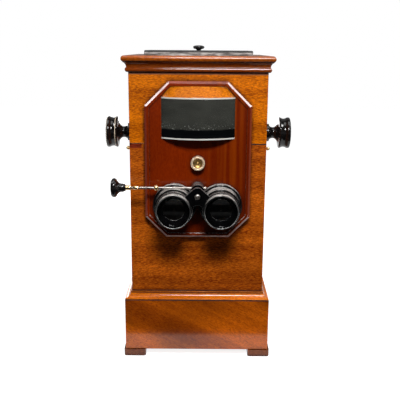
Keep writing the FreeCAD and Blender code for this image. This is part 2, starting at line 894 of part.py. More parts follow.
def screw_hole(label):
    return round_bar(label, ("0", "field_y - bridge_front + screw_length + loose_gap", "screw_z"),
                     "screw_shank / 2 + running_gap", "eyepiece_reach", ALONG_FRONT)


# Rack and pinion focus

def tooth(low, low_half, high, high_half):
    """A straight-flanked tooth that points up from its root."""
    return [(minus(low_half), low), (low_half, low), (high_half, high), (minus(high_half), high)]


def build_rack():
    """Bar under the pinion: its teeth are one tooth repeated along it."""
    body = new_body("rack_blank", ("-rack_width / 2", "rod_y", "rack_z"), FACING_RIGHT)
    pad(body, "rack_width", [rectangle(("rod_out - bridge_rear", "rod_out + rack_tail"),
                                       ("-(tooth_in + rack_depth)", "-tooth_in"))])
    first = "%s * tooth_pitch" % (0.5 - RACK_TEETH / 2)
    flank = "tan(20 deg)"
    root_half = "tooth_half + tooth_in * " + flank
    tip_half = "tooth_half - rack_tip * " + flank
    outline = [("%s + %s" % (first, u), v) for u, v in tooth("-tooth_in", root_half, "rack_tip", tip_half)]
    single = pad(body, "rack_width", [outline])
    row = body.newObject("PartDesign::LinearPattern", "teeth")
    row.Originals = [single]
    row.Direction = (single.Profile[0], ["H_Axis"])
    row.Occurrences = RACK_TEETH
    bind(row, {"Length": "%d * tooth_pitch" % (RACK_TEETH - 1)})
    body.Tip = row
    return cut("focus_rack", body, screw_hole("rack_screw_hole"))


def build_pinion():
    """Gear on the focus rod: one tooth repeated round it."""
    body = new_body("focus_pinion", ("-pinion_length / 2", "rod_y", "rod_z"), FACING_RIGHT)
    root = "pinion_radius - tooth_in"
    pad(body, "pinion_length", [], [("0", "0", root), ("0", "0", "rod_diameter / 2 + running_gap")])
    outline = tooth("-(pinion_radius + tooth_out)", "tooth_half / 2",
                    "-(%s) * cos(15 deg)" % root, "tooth_half * 1.25")
    single = pad(body, "pinion_length", [outline])
    ring = body.newObject("PartDesign::PolarPattern", "teeth")
    ring.Originals = [single]
    ring.Axis = (single.Profile[0], ["N_Axis"])
    ring.Angle = 360
    ring.Occurrences = PINION_TEETH
    body.Tip = ring
    return body


def build_housing():
    """Arched block on the panel that carries the pinion over the rack."""
    top = "housing_top"
    arch = "housing_top - housing_radius"
    outline = mirrored([
        ("housing_neck", "housing_low"),
        ("housing_neck", "housing_shoulder"),
        ("housing_radius", "housing_shoulder + housing_wall"),
        ("housing_radius", arch),
        ("0", top, "housing_radius", CCW),
    ])
    blank = flat_piece("housing_blank", ("0", "field_y", "eye_z"), FACING_FRONT, "sleeve_reach", [outline])
    bore = round_bar("rod_bore", ("-body_width", "rod_y", "rod_z"), "rod_diameter / 2 + running_gap",
                     "2 * body_width")
    hollow = round_bar("pinion_hollow", ("-(pinion_length / 2 + loose_gap)", "rod_y", "rod_z"),
                       "pinion_radius + tooth_out + loose_gap", "pinion_length + 2 * loose_gap")
    half_rack = "(rack_width / 2 + slide_gap)"
    slot = block("rack_way", ("-" + half_rack, half_rack), ("field_y - 2 * sleeve_reach", "field_y + board"),
                 ("rack_low - slide_gap", "rack_z + tooth_out + slide_gap"))
    return cut("pinion_housing", blank, bore, hollow, slot)


def rod_bead(label, x, width, diameter):
    """Rounded brass bead on the focus rod."""
    bore = "(rod_diameter / 2 + running_gap)"
    half = "(%s) / 2" % width
    shoulder = "%s * 1.2" % bore
    rise = "((%s) / 2 - %s)" % (diameter, shoulder)
    curve = "((%s)^2 + %s^2) / (2 * %s)" % (half, rise, rise)
    return turned_piece(label, (x, "rod_y", "rod_z"), ALONG_RIGHT, [
        (minus(half), bore),
        (half, bore),
        (half, shoulder),
        (minus(half), shoulder, curve, CCW),
    ])


def build_focus():
    inner_end = "(half_width + focus_knob_inset)"
    rod = round_bar("focus_rod", ("-(%s + focus_knob_length / 2)" % inner_end, "rod_y", "rod_z"),
                    "rod_diameter / 2", "%s + focus_knob_length / 2 + rod_overhang" % inner_end)
    beads = group("rod_beads", rod_bead("bead", "-bead_x", "bead_width", "bead_diameter"),
                  rod_bead("collar", "-collar_x", "collar_width", "collar_diameter"))
    bore = "rod_diameter / 2 + running_gap"
    ferrule = turned_piece("focus_ferrule", ("-" + inner_end, "rod_y", "rod_z"), ALONG_RIGHT, [
        ("0", bore),
        ("ferrule_length", bore),
        ("ferrule_length", "ferrule_diameter / 3"),
        ("ferrule_length / 2", "ferrule_diameter / 2", "ferrule_length", CCW),
        ("0", "ferrule_diameter / 2"),
    ])
    rim = "focus_knob_diameter / 2"
    lip = "focus_knob_rim / 4"
    knob = turned_piece("focus_knob", ("-" + inner_end, "rod_y", "rod_z"), ALONG_LEFT, [
        ("0", bore),
        ("focus_knob_length / 2 + running_gap", bore),
        ("focus_knob_length / 2 + running_gap", "0"),
        ("focus_knob_length", "0"),
        ("focus_knob_length", "%s - %s" % (rim, lip)),
        ("focus_knob_length - " + lip, rim, lip, CCW),
        ("focus_knob_length - focus_knob_rim", rim),
        ("focus_knob_length / 8", "focus_knob_neck / 2", rim, CW),
        ("0", "focus_knob_neck / 2"),
    ])
    return rod, beads, ferrule, knob


# Belt of cards

def build_axle():
    ends = "(half_width + knob_reach - knob_wall)"
    axle = round_bar("axle", ("-" + ends, "axle_y", "split_z"), "axle_diameter / 2", "2 * " + ends)
    sleeve = rectangle(("0", "board"), ("axle_diameter / 2 + running_gap", "bush_diameter / 2"))
    bushes = [turned_piece("bush", (x, "axle_y", "split_z"), ALONG_RIGHT, sleeve)
              for x in ("-half_width", "inner_width")]
    return axle, group("axle_bushes", *bushes)


def build_knobs():
    """Turned knobs: collar, waist, and a broad rim with a hollow between two rings."""
    rim = "knob_diameter / 2"
    bore = "axle_diameter / 2 + running_gap"
    inner_rim = "knob_reach - knob_rim"
    hollow = "(knob_rim / 2 - knob_ring)"
    groove = "(%s^2 + knob_groove^2) / (2 * knob_groove)" % hollow
    lip = "knob_ring / 3"
    half_waist = "((%s - knob_collar_length) / 2)" % inner_rim
    waist_depth = "((knob_collar - knob_neck) / 2)"
    waist = "(%s^2 + %s^2) / (2 * %s)" % (half_waist, waist_depth, waist_depth)
    profile = [
        ("loose_gap", bore),
        ("knob_reach - knob_wall + running_gap", bore),
        ("knob_reach - knob_wall + running_gap", "0"),
        ("knob_reach", "0"),
        ("knob_reach", "%s - %s" % (rim, lip)),
        ("knob_reach - " + lip, rim, lip, CCW),
        ("knob_reach - knob_ring", rim),
        (inner_rim + " + knob_ring", rim, groove, CW),
        ("%s + %s" % (inner_rim, lip), rim),
        (inner_rim, "%s - %s" % (rim, lip), lip, CCW),
        (inner_rim, "knob_collar / 2"),
        ("knob_collar_length", "knob_collar / 2", waist, CW),
        ("loose_gap", "knob_collar / 2"),
    ]
    return [turned_piece("knob_" + side, (x, "axle_y", "split_z"), turn, profile)
            for side, x, turn in (("left", "-half_width", ALONG_LEFT), ("right", "half_width", ALONG_RIGHT))]


def spool(low):
    """Upper half of a roller's outline, from its right end to its left, above a low radius."""
    half = "roller_length / 2"
    cheek = "(%s - roller_cheek)" % half
    waist = "(%s - roller_cheek / 2)" % cheek
    return [
        (half, low),
        (half, "roller_diameter / 2"),
        (cheek, "roller_diameter / 2"),
        (waist, "roller_core / 2"),
        ("-" + waist, "roller_core / 2"),
        ("-" + cheek, "roller_diameter / 2"),
        (minus(half), "roller_diameter / 2"),
        (minus(half), low),
    ]


def build_rollers():
    """Spool on the axle, and an idler below it turned with its own journals."""
    roller = turned_piece("top_roller", ("0", "axle_y", "split_z"), ALONG_RIGHT,
                          spool("axle_diameter / 2 + running_gap"))
    journal = "(inner_width - loose_gap)"
    radius = "axle_diameter / 2"
    ends = [("-" + journal, "0"), (journal, "0"), (journal, radius)]
    idler = turned_piece("idler_roller", ("0", "axle_y", "idler_z"), ALONG_RIGHT,
                         ends + spool(radius) + [("-" + journal, radius)])
    half = "bearing_side / 2"
    bearings = []
    for x in ("-inner_width", "inner_width - bearing_thickness"):
        blank = block("bearing_blank", (x, x + " + bearing_thickness"),
                      ("axle_y - " + half, "axle_y + " + half), ("idler_z - " + half, "idler_z + " + half))
        hole = round_bar("journal_hole", ("-body_width", "axle_y", "idler_z"),
                         "axle_diameter / 2 + running_gap", "2 * body_width")
        bearings.append(cut("bearing", blank, hole))
    return roller, idler, group("idler_bearings", *bearings)


def loop(radius):
    """A racetrack round both rollers, from the top roller's axis."""
    return [
        (radius, "0"),
        ("0", radius, radius, CCW),
        (minus(radius), "0", radius, CCW),
        (minus(radius), "-loop_drop"),
        ("0", "-(loop_drop + %s)" % radius, radius, CCW),
        (radius, "-loop_drop", radius, CCW),
    ]


def build_tapes():
    outlines = [loop("belt_radius - running_gap"), loop("roller_diameter / 2 + loose_gap")]
    tapes = [flat_piece("tape", (x + " - tape_width / 2", "axle_y", "split_z"), FACING_RIGHT,
                        "tape_width", outlines)
             for x in ("-tape_spacing / 2", "tape_spacing / 2")]
    return group("tapes", *tapes)


def belt_place(travel, lift):
    """Where a card stands after a travel along the belt from the front of the top roller."""
    radius = value("belt_radius")
    drop = value("loop_drop")
    half_turn = math.pi * radius
    height = value("split_z")
    if travel < half_turn:
        angle = travel / radius
    elif travel < half_turn + drop:
        angle = math.pi
        height -= travel - half_turn
    elif travel < 2 * half_turn + drop:
        angle = (travel - drop) / radius
        height -= drop
    else:
        angle = 2 * math.pi
        height -= 2 * (half_turn + drop) - travel
    out = Vector(0, -math.cos(angle), math.sin(angle))
    centre = Vector(0, value("axle_y"), height)
    turn = Rotation(Vector(1, 0, 0), -math.degrees(angle)) * FACING_FRONT
    return Placement(centre + out * (radius + lift), turn)


def on_belt(label, travel, lift, thickness, half_height, left, right):
    """A flat oblong piece that stands across the belt at a travel along it."""
    body = doc.addObject("PartDesign::Body", label)
    pad(body, thickness, [rectangle((left, right), (minus(half_height), half_height))])
    body.Placement = belt_place(travel, value(lift))
    return body


def build_cards():
    """Tin plates riding on the tapes, each with two end rails that a stereo card slides between."""
    frames = []
    cards = []
    end = "frame_width / 2"
    card_end = "card_width / 2"
    rail = "(card_width / 2 + slide_gap)"
    half = "frame_height / 2"
    for number in range(CARDS):
        travel = number * value("pitch")
        frames.append(on_belt("card_plate", travel, "0", "frame_back", half, minus(end), end))
        for left, right in ((minus(end), "-" + rail), (rail, end)):
            frames.append(on_belt("card_rail", travel, "frame_back", "frame_thickness - frame_back", half,
                                  left, right))
        cards.append(on_belt("card", travel, "frame_back", "card_thickness", "card_height / 2",
                             minus(card_end), card_end))
    return group("card_frames", *frames), group("stereo_cards", *cards)


# Hood hinges

def hinge_leaf(label, x, knuckles, sign):
    """One leaf on the back of the case: a plate with knuckles rolled round the pin."""
    root = "split_z %s (knuckle_diameter / 2 + loose_gap)" % sign
    tip = "split_z %s hinge_leaf" % sign
    depth = ("back_y", "back_y + leaf_thickness")
    plate_z = (root, tip) if sign == "+" else (tip, root)
    web_z = ("split_z", root) if sign == "+" else (root, "split_z")
    pieces = [block(label + "_plate", (x + " - hinge_width / 2", x + " + hinge_width / 2"), depth, plate_z)]
    for number in knuckles:
        start = "%s + hinge_width * %d / 6 + running_gap" % (x, number)
        length = "hinge_width / 3 - 2 * running_gap"
        pieces.append(block(label + "_web", (start, "%s + %s" % (start, length)), depth, web_z))
        pieces.append(round_bar(label + "_knuckle", (start, "hinge_y", "split_z"), "knuckle_diameter / 2",
                                length))
    hole = round_bar(label + "_hole", ("-body_width", "hinge_y", "split_z"), "hinge_pin / 2 + running_gap",
                     "2 * body_width")
    return cut(label, fuse(label + "_blank", *pieces), hole)


def build_hinges():
    lower = []
    upper = []
    pins = []
    for x in ("-hinge_spacing / 2", "hinge_spacing / 2"):
        lower.append(hinge_leaf("lower_leaf", x, [-1], "-"))
        upper.append(hinge_leaf("upper_leaf", x, [-3, 1], "+"))
        pins.append(round_bar("case_hinge_pin", (x + " - hinge_width / 2", "hinge_y", "split_z"),
                              "hinge_pin / 2", "hinge_width"))
    for x in ("-flap_hinge_spacing / 2", "flap_hinge_spacing / 2"):
        half = "(flap_knuckle_length * 3 / 2 + loose_gap)"
        pins.append(round_bar("flap_hinge_pin", ("%s - %s" % (x, half), "flap_pin_y", "flap_pin_z"),
                              "flap_pin / 2", "2 * " + half))
    leaves = group("hinge_leaves_lower", *lower), group("hinge_leaves_upper", *upper)
    return *leaves, group("hinge_pins", *pins)


# Light flap

def flap_pin_hole(label):
    return round_bar(label, ("-body_width", "flap_pin_y", "flap_pin_z"), "flap_pin / 2 + running_gap",
                     "2 * body_width")


def build_flap_leaves():
    leaves = []
    for x in ("-flap_hinge_spacing / 2", "flap_hinge_spacing / 2"):
        ends = (x + " - flap_knuckle_length / 2", x + " + flap_knuckle_length / 2")
        plate = block("flap_leaf_plate", ends, ("flap_pin_y", "flap_pin_y + flap_leaf"),
                      ("top_z", "top_z + leaf_thickness"))
        knuckle = round_bar("flap_leaf_knuckle", (ends[0], "flap_pin_y", "flap_pin_z"), "flap_knuckle / 2",
                            "flap_knuckle_length")
        blank = fuse("flap_leaf_blank", plate, knuckle)
        leaves.append(cut("flap_leaf", blank, flap_pin_hole("flap_leaf_hole")))
    return group("flap_hinge_leaves", *leaves)


def build_flap():
    """Shallow sheet-metal tray, mirror inside, knuckles on its rear edge, knob near its front edge."""
    tray = new_body("flap_blank", ("0", "flap_front", "top_z + running_gap"), PLAN)
    half = "flap_width / 2"
    lid = pad(tray, "flap_height", [rectangle((minus(half), half), ("0", "flap_depth"))])
    dress_edges(tray, "Fillet", lid, "flap_round", above_ground)
    inside = "(flap_width / 2 - flap_sheet)"
    roof = "top_z + running_gap + flap_height - flap_sheet"
    hollow = block("flap_hollow", ("-" + inside, inside),
                   ("flap_front + flap_sheet", "flap_back - flap_sheet"), ("top_z - board", roof))
    pieces = [cut("flap_tray", tray, hollow)]
    for x in ("-flap_hinge_spacing / 2", "flap_hinge_spacing / 2"):
        for start in ("%s - flap_knuckle_length * 3 / 2 - loose_gap" % x,
                      "%s + flap_knuckle_length / 2 + loose_gap" % x):
            ends = (start, start + " + flap_knuckle_length")
            pieces.append(round_bar("flap_knuckle", (start, "flap_pin_y", "flap_pin_z"), "flap_knuckle / 2",
                                    "flap_knuckle_length"))
            pieces.append(block("flap_web", ends, ("flap_back - flap_sheet", "flap_pin_y"),
                                ("flap_pin_z", "flap_pin_z + flap_knuckle / 2")))
    frame = cut("flap_frame", fuse("flap_joined", *pieces), flap_pin_hole("flap_hole"))
    room = "(flap_width / 2 - flap_sheet - loose_gap)"
    mirror = block("flap_mirror", ("-" + room, room),
                   ("flap_front + flap_sheet + loose_gap", "flap_back - flap_sheet - loose_gap"),
                   (roof + " - mirror_thickness - running_gap", roof + " - running_gap"))
    return frame, mirror, build_flap_knob()


def build_flap_knob():
    cap = "flap_knob_diameter / 2"
    stem = "flap_knob_stem / 2"
    crown = "flap_knob_height * 2 / 3"
    seat = "top_z + running_gap + flap_height"
    return turned_piece("flap_knob", ("0", "flap_front + flap_knob_inset", seat), ALONG_UP, [
        ("0", "0"),
        ("flap_knob_height", "0"),
        (crown, cap, "2 * flap_knob_diameter", CCW),
        (crown + " - flap_knob_height / 5", cap),
        ("flap_knob_height / 4", stem, "flap_knob_diameter", CW),
        ("0", stem),
    ])


# Push-button catch

def build_button():
    """Brass bezel, and the dished push-button inside it with its long stem."""
    outer = "bezel_diameter / 2"
    bore = "button_diameter / 2 + slide_gap"
    lip = "bezel_reach / 8"
    bezel = turned_piece("button_bezel", ("0", "field_y", "button_z"), ALONG_FRONT, [
        ("0", bore),
        ("bezel_reach - " + lip, bore),
        ("bezel_reach", "%s + %s" % (bore, lip)),
        ("bezel_reach", "%s - %s" % (outer, lip)),
        ("bezel_reach - " + lip, outer, lip, CCW),
        ("0", outer),
    ])
    face = "bezel_reach - button_sunk"
    rim = "button_diameter / 2"
    boss = "button_stem / 2"
    dish = "button_length / 4"
    button = turned_piece("catch_button", ("0", "field_y", "button_z"), ALONG_FRONT, [
        ("-button_tail", "0"),
        (face, "0"),
        (face + " - " + dish, boss, "button_stem", CCW),
        (face, "%s - %s" % (rim, dish), "button_diameter", CW),
        ("%s - %s" % (face, dish), rim, dish, CCW),
        (face + " - button_length", rim),
        (face + " - button_length", boss),
        ("-button_tail", boss),
    ])
    return bezel, button


def build_catch():
    """Lever that the button tilts, with a nose in the hood's mortise, and its bracket."""
    top = "split_z + nose_rise + nose_thickness - (lever_z)"
    half = "lever_thickness / 2"
    arm = flat_piece("lever_arm", ("-lever_width / 2", "lever_y", "lever_z"), FACING_RIGHT, "lever_width", [[
        (half, "0"),
        (half, top),
        ("-(lever_standoff + nose_bite)", top),
        ("-(lever_standoff + nose_bite)", top + " - nose_thickness"),
        (minus(half), top + " - nose_thickness"),
        (minus(half), "0"),
    ]])
    eye = round_bar("lever_barrel", ("-lever_width / 2", "lever_y", "lever_z"), "lever_eye / 2",
                    "lever_width")
    hole = round_bar("lever_hole", ("-lever_width", "lever_y", "lever_z"), "lever_pin / 2 + running_gap",
                     "2 * lever_width")
    lever = cut("catch_lever", fuse("lever_blank", arm, eye), hole)
    inner = "(lever_width / 2 + loose_gap)"
    outer = "(lever_width / 2 + loose_gap + lever_thickness)"
    lug_y = ("inner_front", "lever_y + lever_eye / 2")
    lug_z = ("lever_z - lever_eye / 2", "lever_z + lever_eye / 2")
    lugs = [block("catch_lug", x, lug_y, lug_z) for x in (("-" + outer, "-" + inner), (inner, outer))]
    pin = round_bar("catch_pin", ("-" + outer, "lever_y", "lever_z"), "lever_pin / 2", "2 * " + outer)
    return lever, fuse("catch_bracket", *lugs, pin)


# Hooks

def side_pin(label, sign, z, head):
    """Brass pin on one side of the case: a neck for the hook, then its head."""
    outwards = ALONG_LEFT if sign == "-" else ALONG_RIGHT
    return turned_piece(label, (sign + "half_width", "hook_y", z), outwards, [
        ("0", "0"),
        *head,
        ("peg_neck", "peg_diameter / 2"),
        ("0", "peg_diameter / 2"),
    ])


def ball_head():
    """Flange over the hook's eye, and a ball on a short stem."""
    ball_radius = "(peg_ball / 2)"
    throat = "peg_reach - %s - sqrt(%s^2 - (peg_diameter / 2)^2)" % (ball_radius, ball_radius)
    flange = "(peg_neck) + hook_thickness / 2"
    return [
        ("peg_reach", "0"),
        (throat, "peg_diameter / 2", ball_radius, CCW),
        (flange, "peg_diameter / 2"),
        (flange, "peg_flange / 2"),
        ("peg_neck", "peg_flange / 2"),
    ]


def button_head():
    """Low domed head."""
    return [
        ("keeper_reach", "0"),
        ("(peg_neck) + (keeper_reach - (peg_neck)) / 3", "keeper_head / 2", "keeper_head * 3 / 4", CCW),
        ("peg_neck", "keeper_head / 2"),
    ]


def hook(label, x):
    """Flat hook hanging from its peg, with a notch that takes the hood's keeper when swung up."""
    tip = "hook_z - hook_length"
    eye = round_bar(label + "_eye", (x, "hook_y", "hook_z"), "hook_eye / 2", "hook_thickness")
    end = round_bar(label + "_end", (x, "hook_y", tip), "hook_end / 2", "hook_thickness")
    through = (x, x + " + hook_thickness")
    arm = block(label + "_arm", through, ("hook_y - hook_width / 2", "hook_y + hook_width / 2"),
                (tip, "hook_z"))
    pivot = round_bar(label + "_pivot", (x, "hook_y", "hook_z"), "peg_diameter / 2 + slide_gap",
                      "hook_thickness")
    gap = "(peg_diameter / 2 + hook_play)"
    notch = round_bar(label + "_notch", (x, "hook_y", tip), gap, "hook_thickness")
    mouth = block(label + "_mouth", through, ("hook_y - hook_end", "hook_y"),
                  ("%s - %s" % (tip, gap), "%s + %s" % (tip, gap)))
    return cut(label, fuse(label + "_blank", eye, end, arm), pivot, notch, mouth)


def build_hooks():
    pins = [group(label, side_pin("pin_left", "-", z, head), side_pin("pin_right", "", z, head))
            for label, z, head in (("hook_pegs", "hook_z", ball_head()),
                                   ("hook_keepers", "keeper_z", button_head()))]
    return *pins, hook("hook_left", "-(plate_x + hook_thickness)"), hook("hook_right", "plate_x")


# The whole object

def build_all():
    singles = (build_feet, build_front_panel, build_septum, build_rack, build_pinion, build_housing,
               build_tapes, build_flap_leaves)
    families = (build_plinth, build_case, build_hood, build_window, build_sleeves, build_eyepieces,
                build_lenses, build_bridge, build_focus, build_axle, build_knobs, build_rollers,
                build_cards, build_hinges, build_flap, build_button, build_catch, build_hooks)
    nodes = [build() for build in singles]
    for build in families:
        nodes += build()
    return nodes


def check(nodes):
    doc.recompute()
    failed = [item.Label for item in doc.Objects if set(item.State) & {"Invalid", "Error"}]
    failed += [node.Label for node in nodes if node.Shape.isNull() or not node.Shape.isValid()]
    failed += [node.Label for node in nodes if not node.Shape.Solids]
    if failed:
        raise RuntimeError("not built: " + ", ".join(failed))


nodes = build_all()
check(nodes)
os.makedirs("parts", exist_ok=True)
for node in nodes:
    node.Shape.exportStep("parts/%s.step" % node.Label)
print(len(nodes), "nodes")
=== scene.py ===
"""Looks of a table-top cabinet stereoscope: polished mahogany, black lacquer, brass and glass."""

import itertools
import json
import math

import bmesh
import bpy
from mathutils import Matrix, Vector

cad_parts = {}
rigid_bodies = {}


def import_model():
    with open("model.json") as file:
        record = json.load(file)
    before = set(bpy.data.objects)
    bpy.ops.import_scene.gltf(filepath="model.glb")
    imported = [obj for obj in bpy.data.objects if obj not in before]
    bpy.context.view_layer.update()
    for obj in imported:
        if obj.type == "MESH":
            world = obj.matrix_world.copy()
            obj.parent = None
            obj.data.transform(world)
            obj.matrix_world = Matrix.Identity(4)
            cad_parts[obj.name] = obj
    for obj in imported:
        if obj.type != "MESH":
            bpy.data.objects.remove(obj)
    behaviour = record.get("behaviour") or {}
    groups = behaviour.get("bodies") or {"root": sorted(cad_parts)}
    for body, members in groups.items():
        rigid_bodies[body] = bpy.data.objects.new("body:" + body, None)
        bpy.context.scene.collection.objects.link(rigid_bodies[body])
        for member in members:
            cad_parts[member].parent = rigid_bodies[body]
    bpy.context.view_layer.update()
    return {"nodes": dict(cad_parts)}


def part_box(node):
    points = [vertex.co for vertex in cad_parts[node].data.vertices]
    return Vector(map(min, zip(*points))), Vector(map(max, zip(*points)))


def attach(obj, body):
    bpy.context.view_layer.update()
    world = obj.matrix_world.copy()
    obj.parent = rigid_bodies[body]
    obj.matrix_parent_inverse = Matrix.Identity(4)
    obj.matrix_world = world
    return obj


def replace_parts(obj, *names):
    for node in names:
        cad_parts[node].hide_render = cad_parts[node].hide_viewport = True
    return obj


for leftover in list(bpy.data.objects):
    bpy.data.objects.remove(leftover)
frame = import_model()
nodes = frame["nodes"]

# Rotations that bring the grain's direction onto the first axis of a grain vector
ALONG_X = (0, 0, 0)
ALONG_Y = (0, 0, -math.pi / 2)
ALONG_Z = (0, math.pi / 2, 0)
SLANTED = (0, -0.45, 0)

# Lengths in metres
MOUTH_RADIUS = 0.0226
TAPE_WIDTH = 0.014
TAPE_THICKNESS = 0.001
CARD_CLIP = 0.004
HINGE_AT = 0.06
HINGE_LEAF = 0.0012
FLAP_INSET = 0.004

# Steps of the shapes that are made here
TAPE_STATIONS = 180
TURNED_SIDES = 48
DOME_ROWS = 6
CAP_ROWS = 16

SOFT_SAMPLES = 6
SOCKETS = {"value": "NodeSocketFloat", "colour": "NodeSocketColor", "vector": "NodeSocketVector"}


def centre(node):
    low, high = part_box(node)
    return (low + high) / 2


# Node tools

def put(tree, kind, inputs=None, **settings):
    """A new node with its settings made and its inputs filled or joined."""
    node = tree.nodes.new(kind)
    for name, setting in settings.items():
        setattr(node, name, setting)
    for socket, source in (inputs or {}).items():
        if isinstance(source, bpy.types.NodeSocket):
            tree.links.new(source, node.inputs[socket])
        else:
            node.inputs[socket].default_value = source
    return node


def use(tree, group, inputs=None):
    """The outputs of a shared effect."""
    return put(tree, "ShaderNodeGroup", inputs, node_tree=group).outputs


def feed(node, **sources):
    """Joins sources to a node's inputs, with underscores for the spaces in their names."""
    for name, source in sources.items():
        node.id_data.links.new(source, node.inputs[name.replace("_", " ")])


def fix(node, **values):
    """Sets a node's inputs to constants, with underscores for the spaces in their names."""
    for name, value in values.items():
        node.inputs[name.replace("_", " ")].default_value = value


def maths(tree, operation, *terms, clamp=False):
    node = put(tree, "ShaderNodeMath", dict(enumerate(terms)), operation=operation, use_clamp=clamp)
    return node.outputs[0]


def times(tree, one, other):
    return maths(tree, "MULTIPLY", one, other)


def raised(tree, base, amount, source):
    """A base plus an amount of a source."""
    return maths(tree, "MULTIPLY_ADD", source, amount, base)


def apart(tree, one, other):
    """How far two values are from each other."""
    return maths(tree, "ABSOLUTE", maths(tree, "SUBTRACT", one, other))


def span(tree, source, low, high, to_low=0.0, to_high=1.0):
    """A value carried smoothly from one range to another, and held at its ends."""
    inputs = {"Value": source, "From Min": low, "From Max": high, "To Min": to_low, "To Max": to_high}
    return put(tree, "ShaderNodeMapRange", inputs, interpolation_type="SMOOTHSTEP").outputs["Result"]


def mix(tree, amount, one, other, way="MIX"):
    inputs = {"Factor": amount, 6: one, 7: other}
    return put(tree, "ShaderNodeMix", inputs, data_type="RGBA", blend_type=way).outputs[2]


def joined(tree, **parts):
    return put(tree, "ShaderNodeCombineXYZ", parts).outputs[0]


def axes(tree, vector):
    return put(tree, "ShaderNodeSeparateXYZ", {0: vector}).outputs


def length(tree, vector):
    return put(tree, "ShaderNodeVectorMath", {0: vector}, operation="LENGTH").outputs["Value"]


def mapped(tree, vector, turn=ALONG_X, shift=(0, 0, 0)):
    inputs = {"Vector": vector, "Rotation": turn, "Location": shift}
    return put(tree, "ShaderNodeMapping", inputs).outputs[0]


def noise(tree, vector, scale, detail=2.0, roughness=0.5):
    """Noise with one scale, or with a scale for each axis."""
    if isinstance(scale, tuple):
        stretch = put(tree, "ShaderNodeVectorMath", {0: vector, 1: scale}, operation="MULTIPLY")
        vector, scale = stretch.outputs[0], 1.0
    inputs = {"Vector": vector, "Scale": scale, "Detail": detail, "Roughness": roughness}
    return put(tree, "ShaderNodeTexNoise", inputs).outputs["Fac"]


def object_place(tree):
    return put(tree, "ShaderNodeTexCoord").outputs["Object"]


def surface_normal(tree):
    return put(tree, "ShaderNodeNewGeometry").outputs["Normal"]


def colour(red, green, blue):
    return (red, green, blue, 1.0)


def new_group(name, inputs, outputs):
    """An empty effect: its tree, what its inputs give, and the node that its outputs are fed to."""
    tree = bpy.data.node_groups.new(name, "ShaderNodeTree")
    for label, (kind, default) in inputs.items():
        socket = tree.interface.new_socket(label, in_out="INPUT", socket_type=SOCKETS[kind])
        socket.default_value = default
    for label, kind in outputs.items():
        tree.interface.new_socket(label, in_out="OUTPUT", socket_type=SOCKETS[kind])
    return tree, tree.nodes.new("NodeGroupInput").outputs, tree.nodes.new("NodeGroupOutput")


# Shared effects

def make_grain():
    """Mahogany: slow bands, short wavy dashes and dark pores along the first axis of Run."""
    tree, start, end = new_group("Mahogany grain", {
        "Run": ("vector", (0, 0, 0)),
        "Pale": ("colour", colour(0.5, 0.2, 0.05)),
        "Dark": ("colour", colour(0.3, 0.1, 0.03)),
        "Pore": ("colour", colour(0.1, 0.03, 0.01)),
        "Pore strength": ("value", 0.5),
        "Figure": ("value", 0.3),
        "Ribbon": ("value", 0.3),
    }, {"Colour": "colour", "Pores": "value", "Height": "value"})
    run = start["Run"]
    sway = noise(tree, run, (16, 30, 30))
    lift = joined(tree, Y=times(tree, sway, 0.005), Z=times(tree, sway, 0.006))
    path = put(tree, "ShaderNodeVectorMath", {0: run, 1: lift}, operation="ADD").outputs[0]
    bands = span(tree, noise(tree, path, (3, 60, 60), 3.0), 0.3, 0.7)
    dashes = span(tree, noise(tree, path, (190, 950, 950), 3.0, 0.6), 0.36, 0.64)
    ribbon = times(tree, maths(tree, "SUBTRACT", bands, dashes), start["Ribbon"])
    wood = mix(tree, maths(tree, "ADD", dashes, ribbon), start["Dark"], start["Pale"])
    patches = span(tree, noise(tree, run, (7, 13, 13)), 0.3, 0.7, -1.0, 1.0)
    shade = raised(tree, 1.0, start["Figure"], patches)
    figured = mix(tree, 1.0, wood, shade, "MULTIPLY")
    pores = span(tree, noise(tree, path, (260, 1100, 1100), 2.0, 0.6), 0.5, 0.66)
    amount = times(tree, pores, start["Pore strength"])
    feed(end, Colour=mix(tree, amount, figured, start["Pore"]), Pores=pores,
         Height=maths(tree, "SUBTRACT", 1.0, pores))
    return tree


def make_edges():
    """Softened edges: a rounded normal, and a broken mask along the edges themselves."""
    tree, start, end = new_group("Softened edges", {
        "Radius": ("value", 0.001),
        "Spread": ("value", 3.0),
        "Grit": ("value", 300.0),
    }, {"Normal": "vector", "Edge": "value"})
    rounded = put(tree, "ShaderNodeBevel", {"Radius": start["Radius"]}, samples=SOFT_SAMPLES).outputs[0]
    normals = {0: rounded, 1: surface_normal(tree)}
    match = put(tree, "ShaderNodeVectorMath", normals, operation="DOT_PRODUCT").outputs["Value"]
    bend = times(tree, maths(tree, "SUBTRACT", 1.0, match), start["Spread"])
    grit = noise(tree, object_place(tree), start["Grit"], 3.0, 0.6)
    feed(end, Normal=rounded,
         Edge=times(tree, span(tree, bend, 0.15, 0.6), span(tree, grit, 0.35, 0.6)))
    return tree


def make_hollows():
    """Where polish and grime gather and where shade falls: the narrow corners of a surface, as a mask for
    painted shade, grime and tarnish.
    """
    tree, start, end = new_group("Dark hollows", {"Reach": ("value", 0.004)}, {"Hollow": "value"})
    inputs = {"Distance": start["Reach"]}
    openness = put(tree, "ShaderNodeAmbientOcclusion", inputs, samples=SOFT_SAMPLES).outputs["AO"]
    feed(end, Hollow=span(tree, openness, 0.35, 0.95, 1.0, 0.0))
    return tree


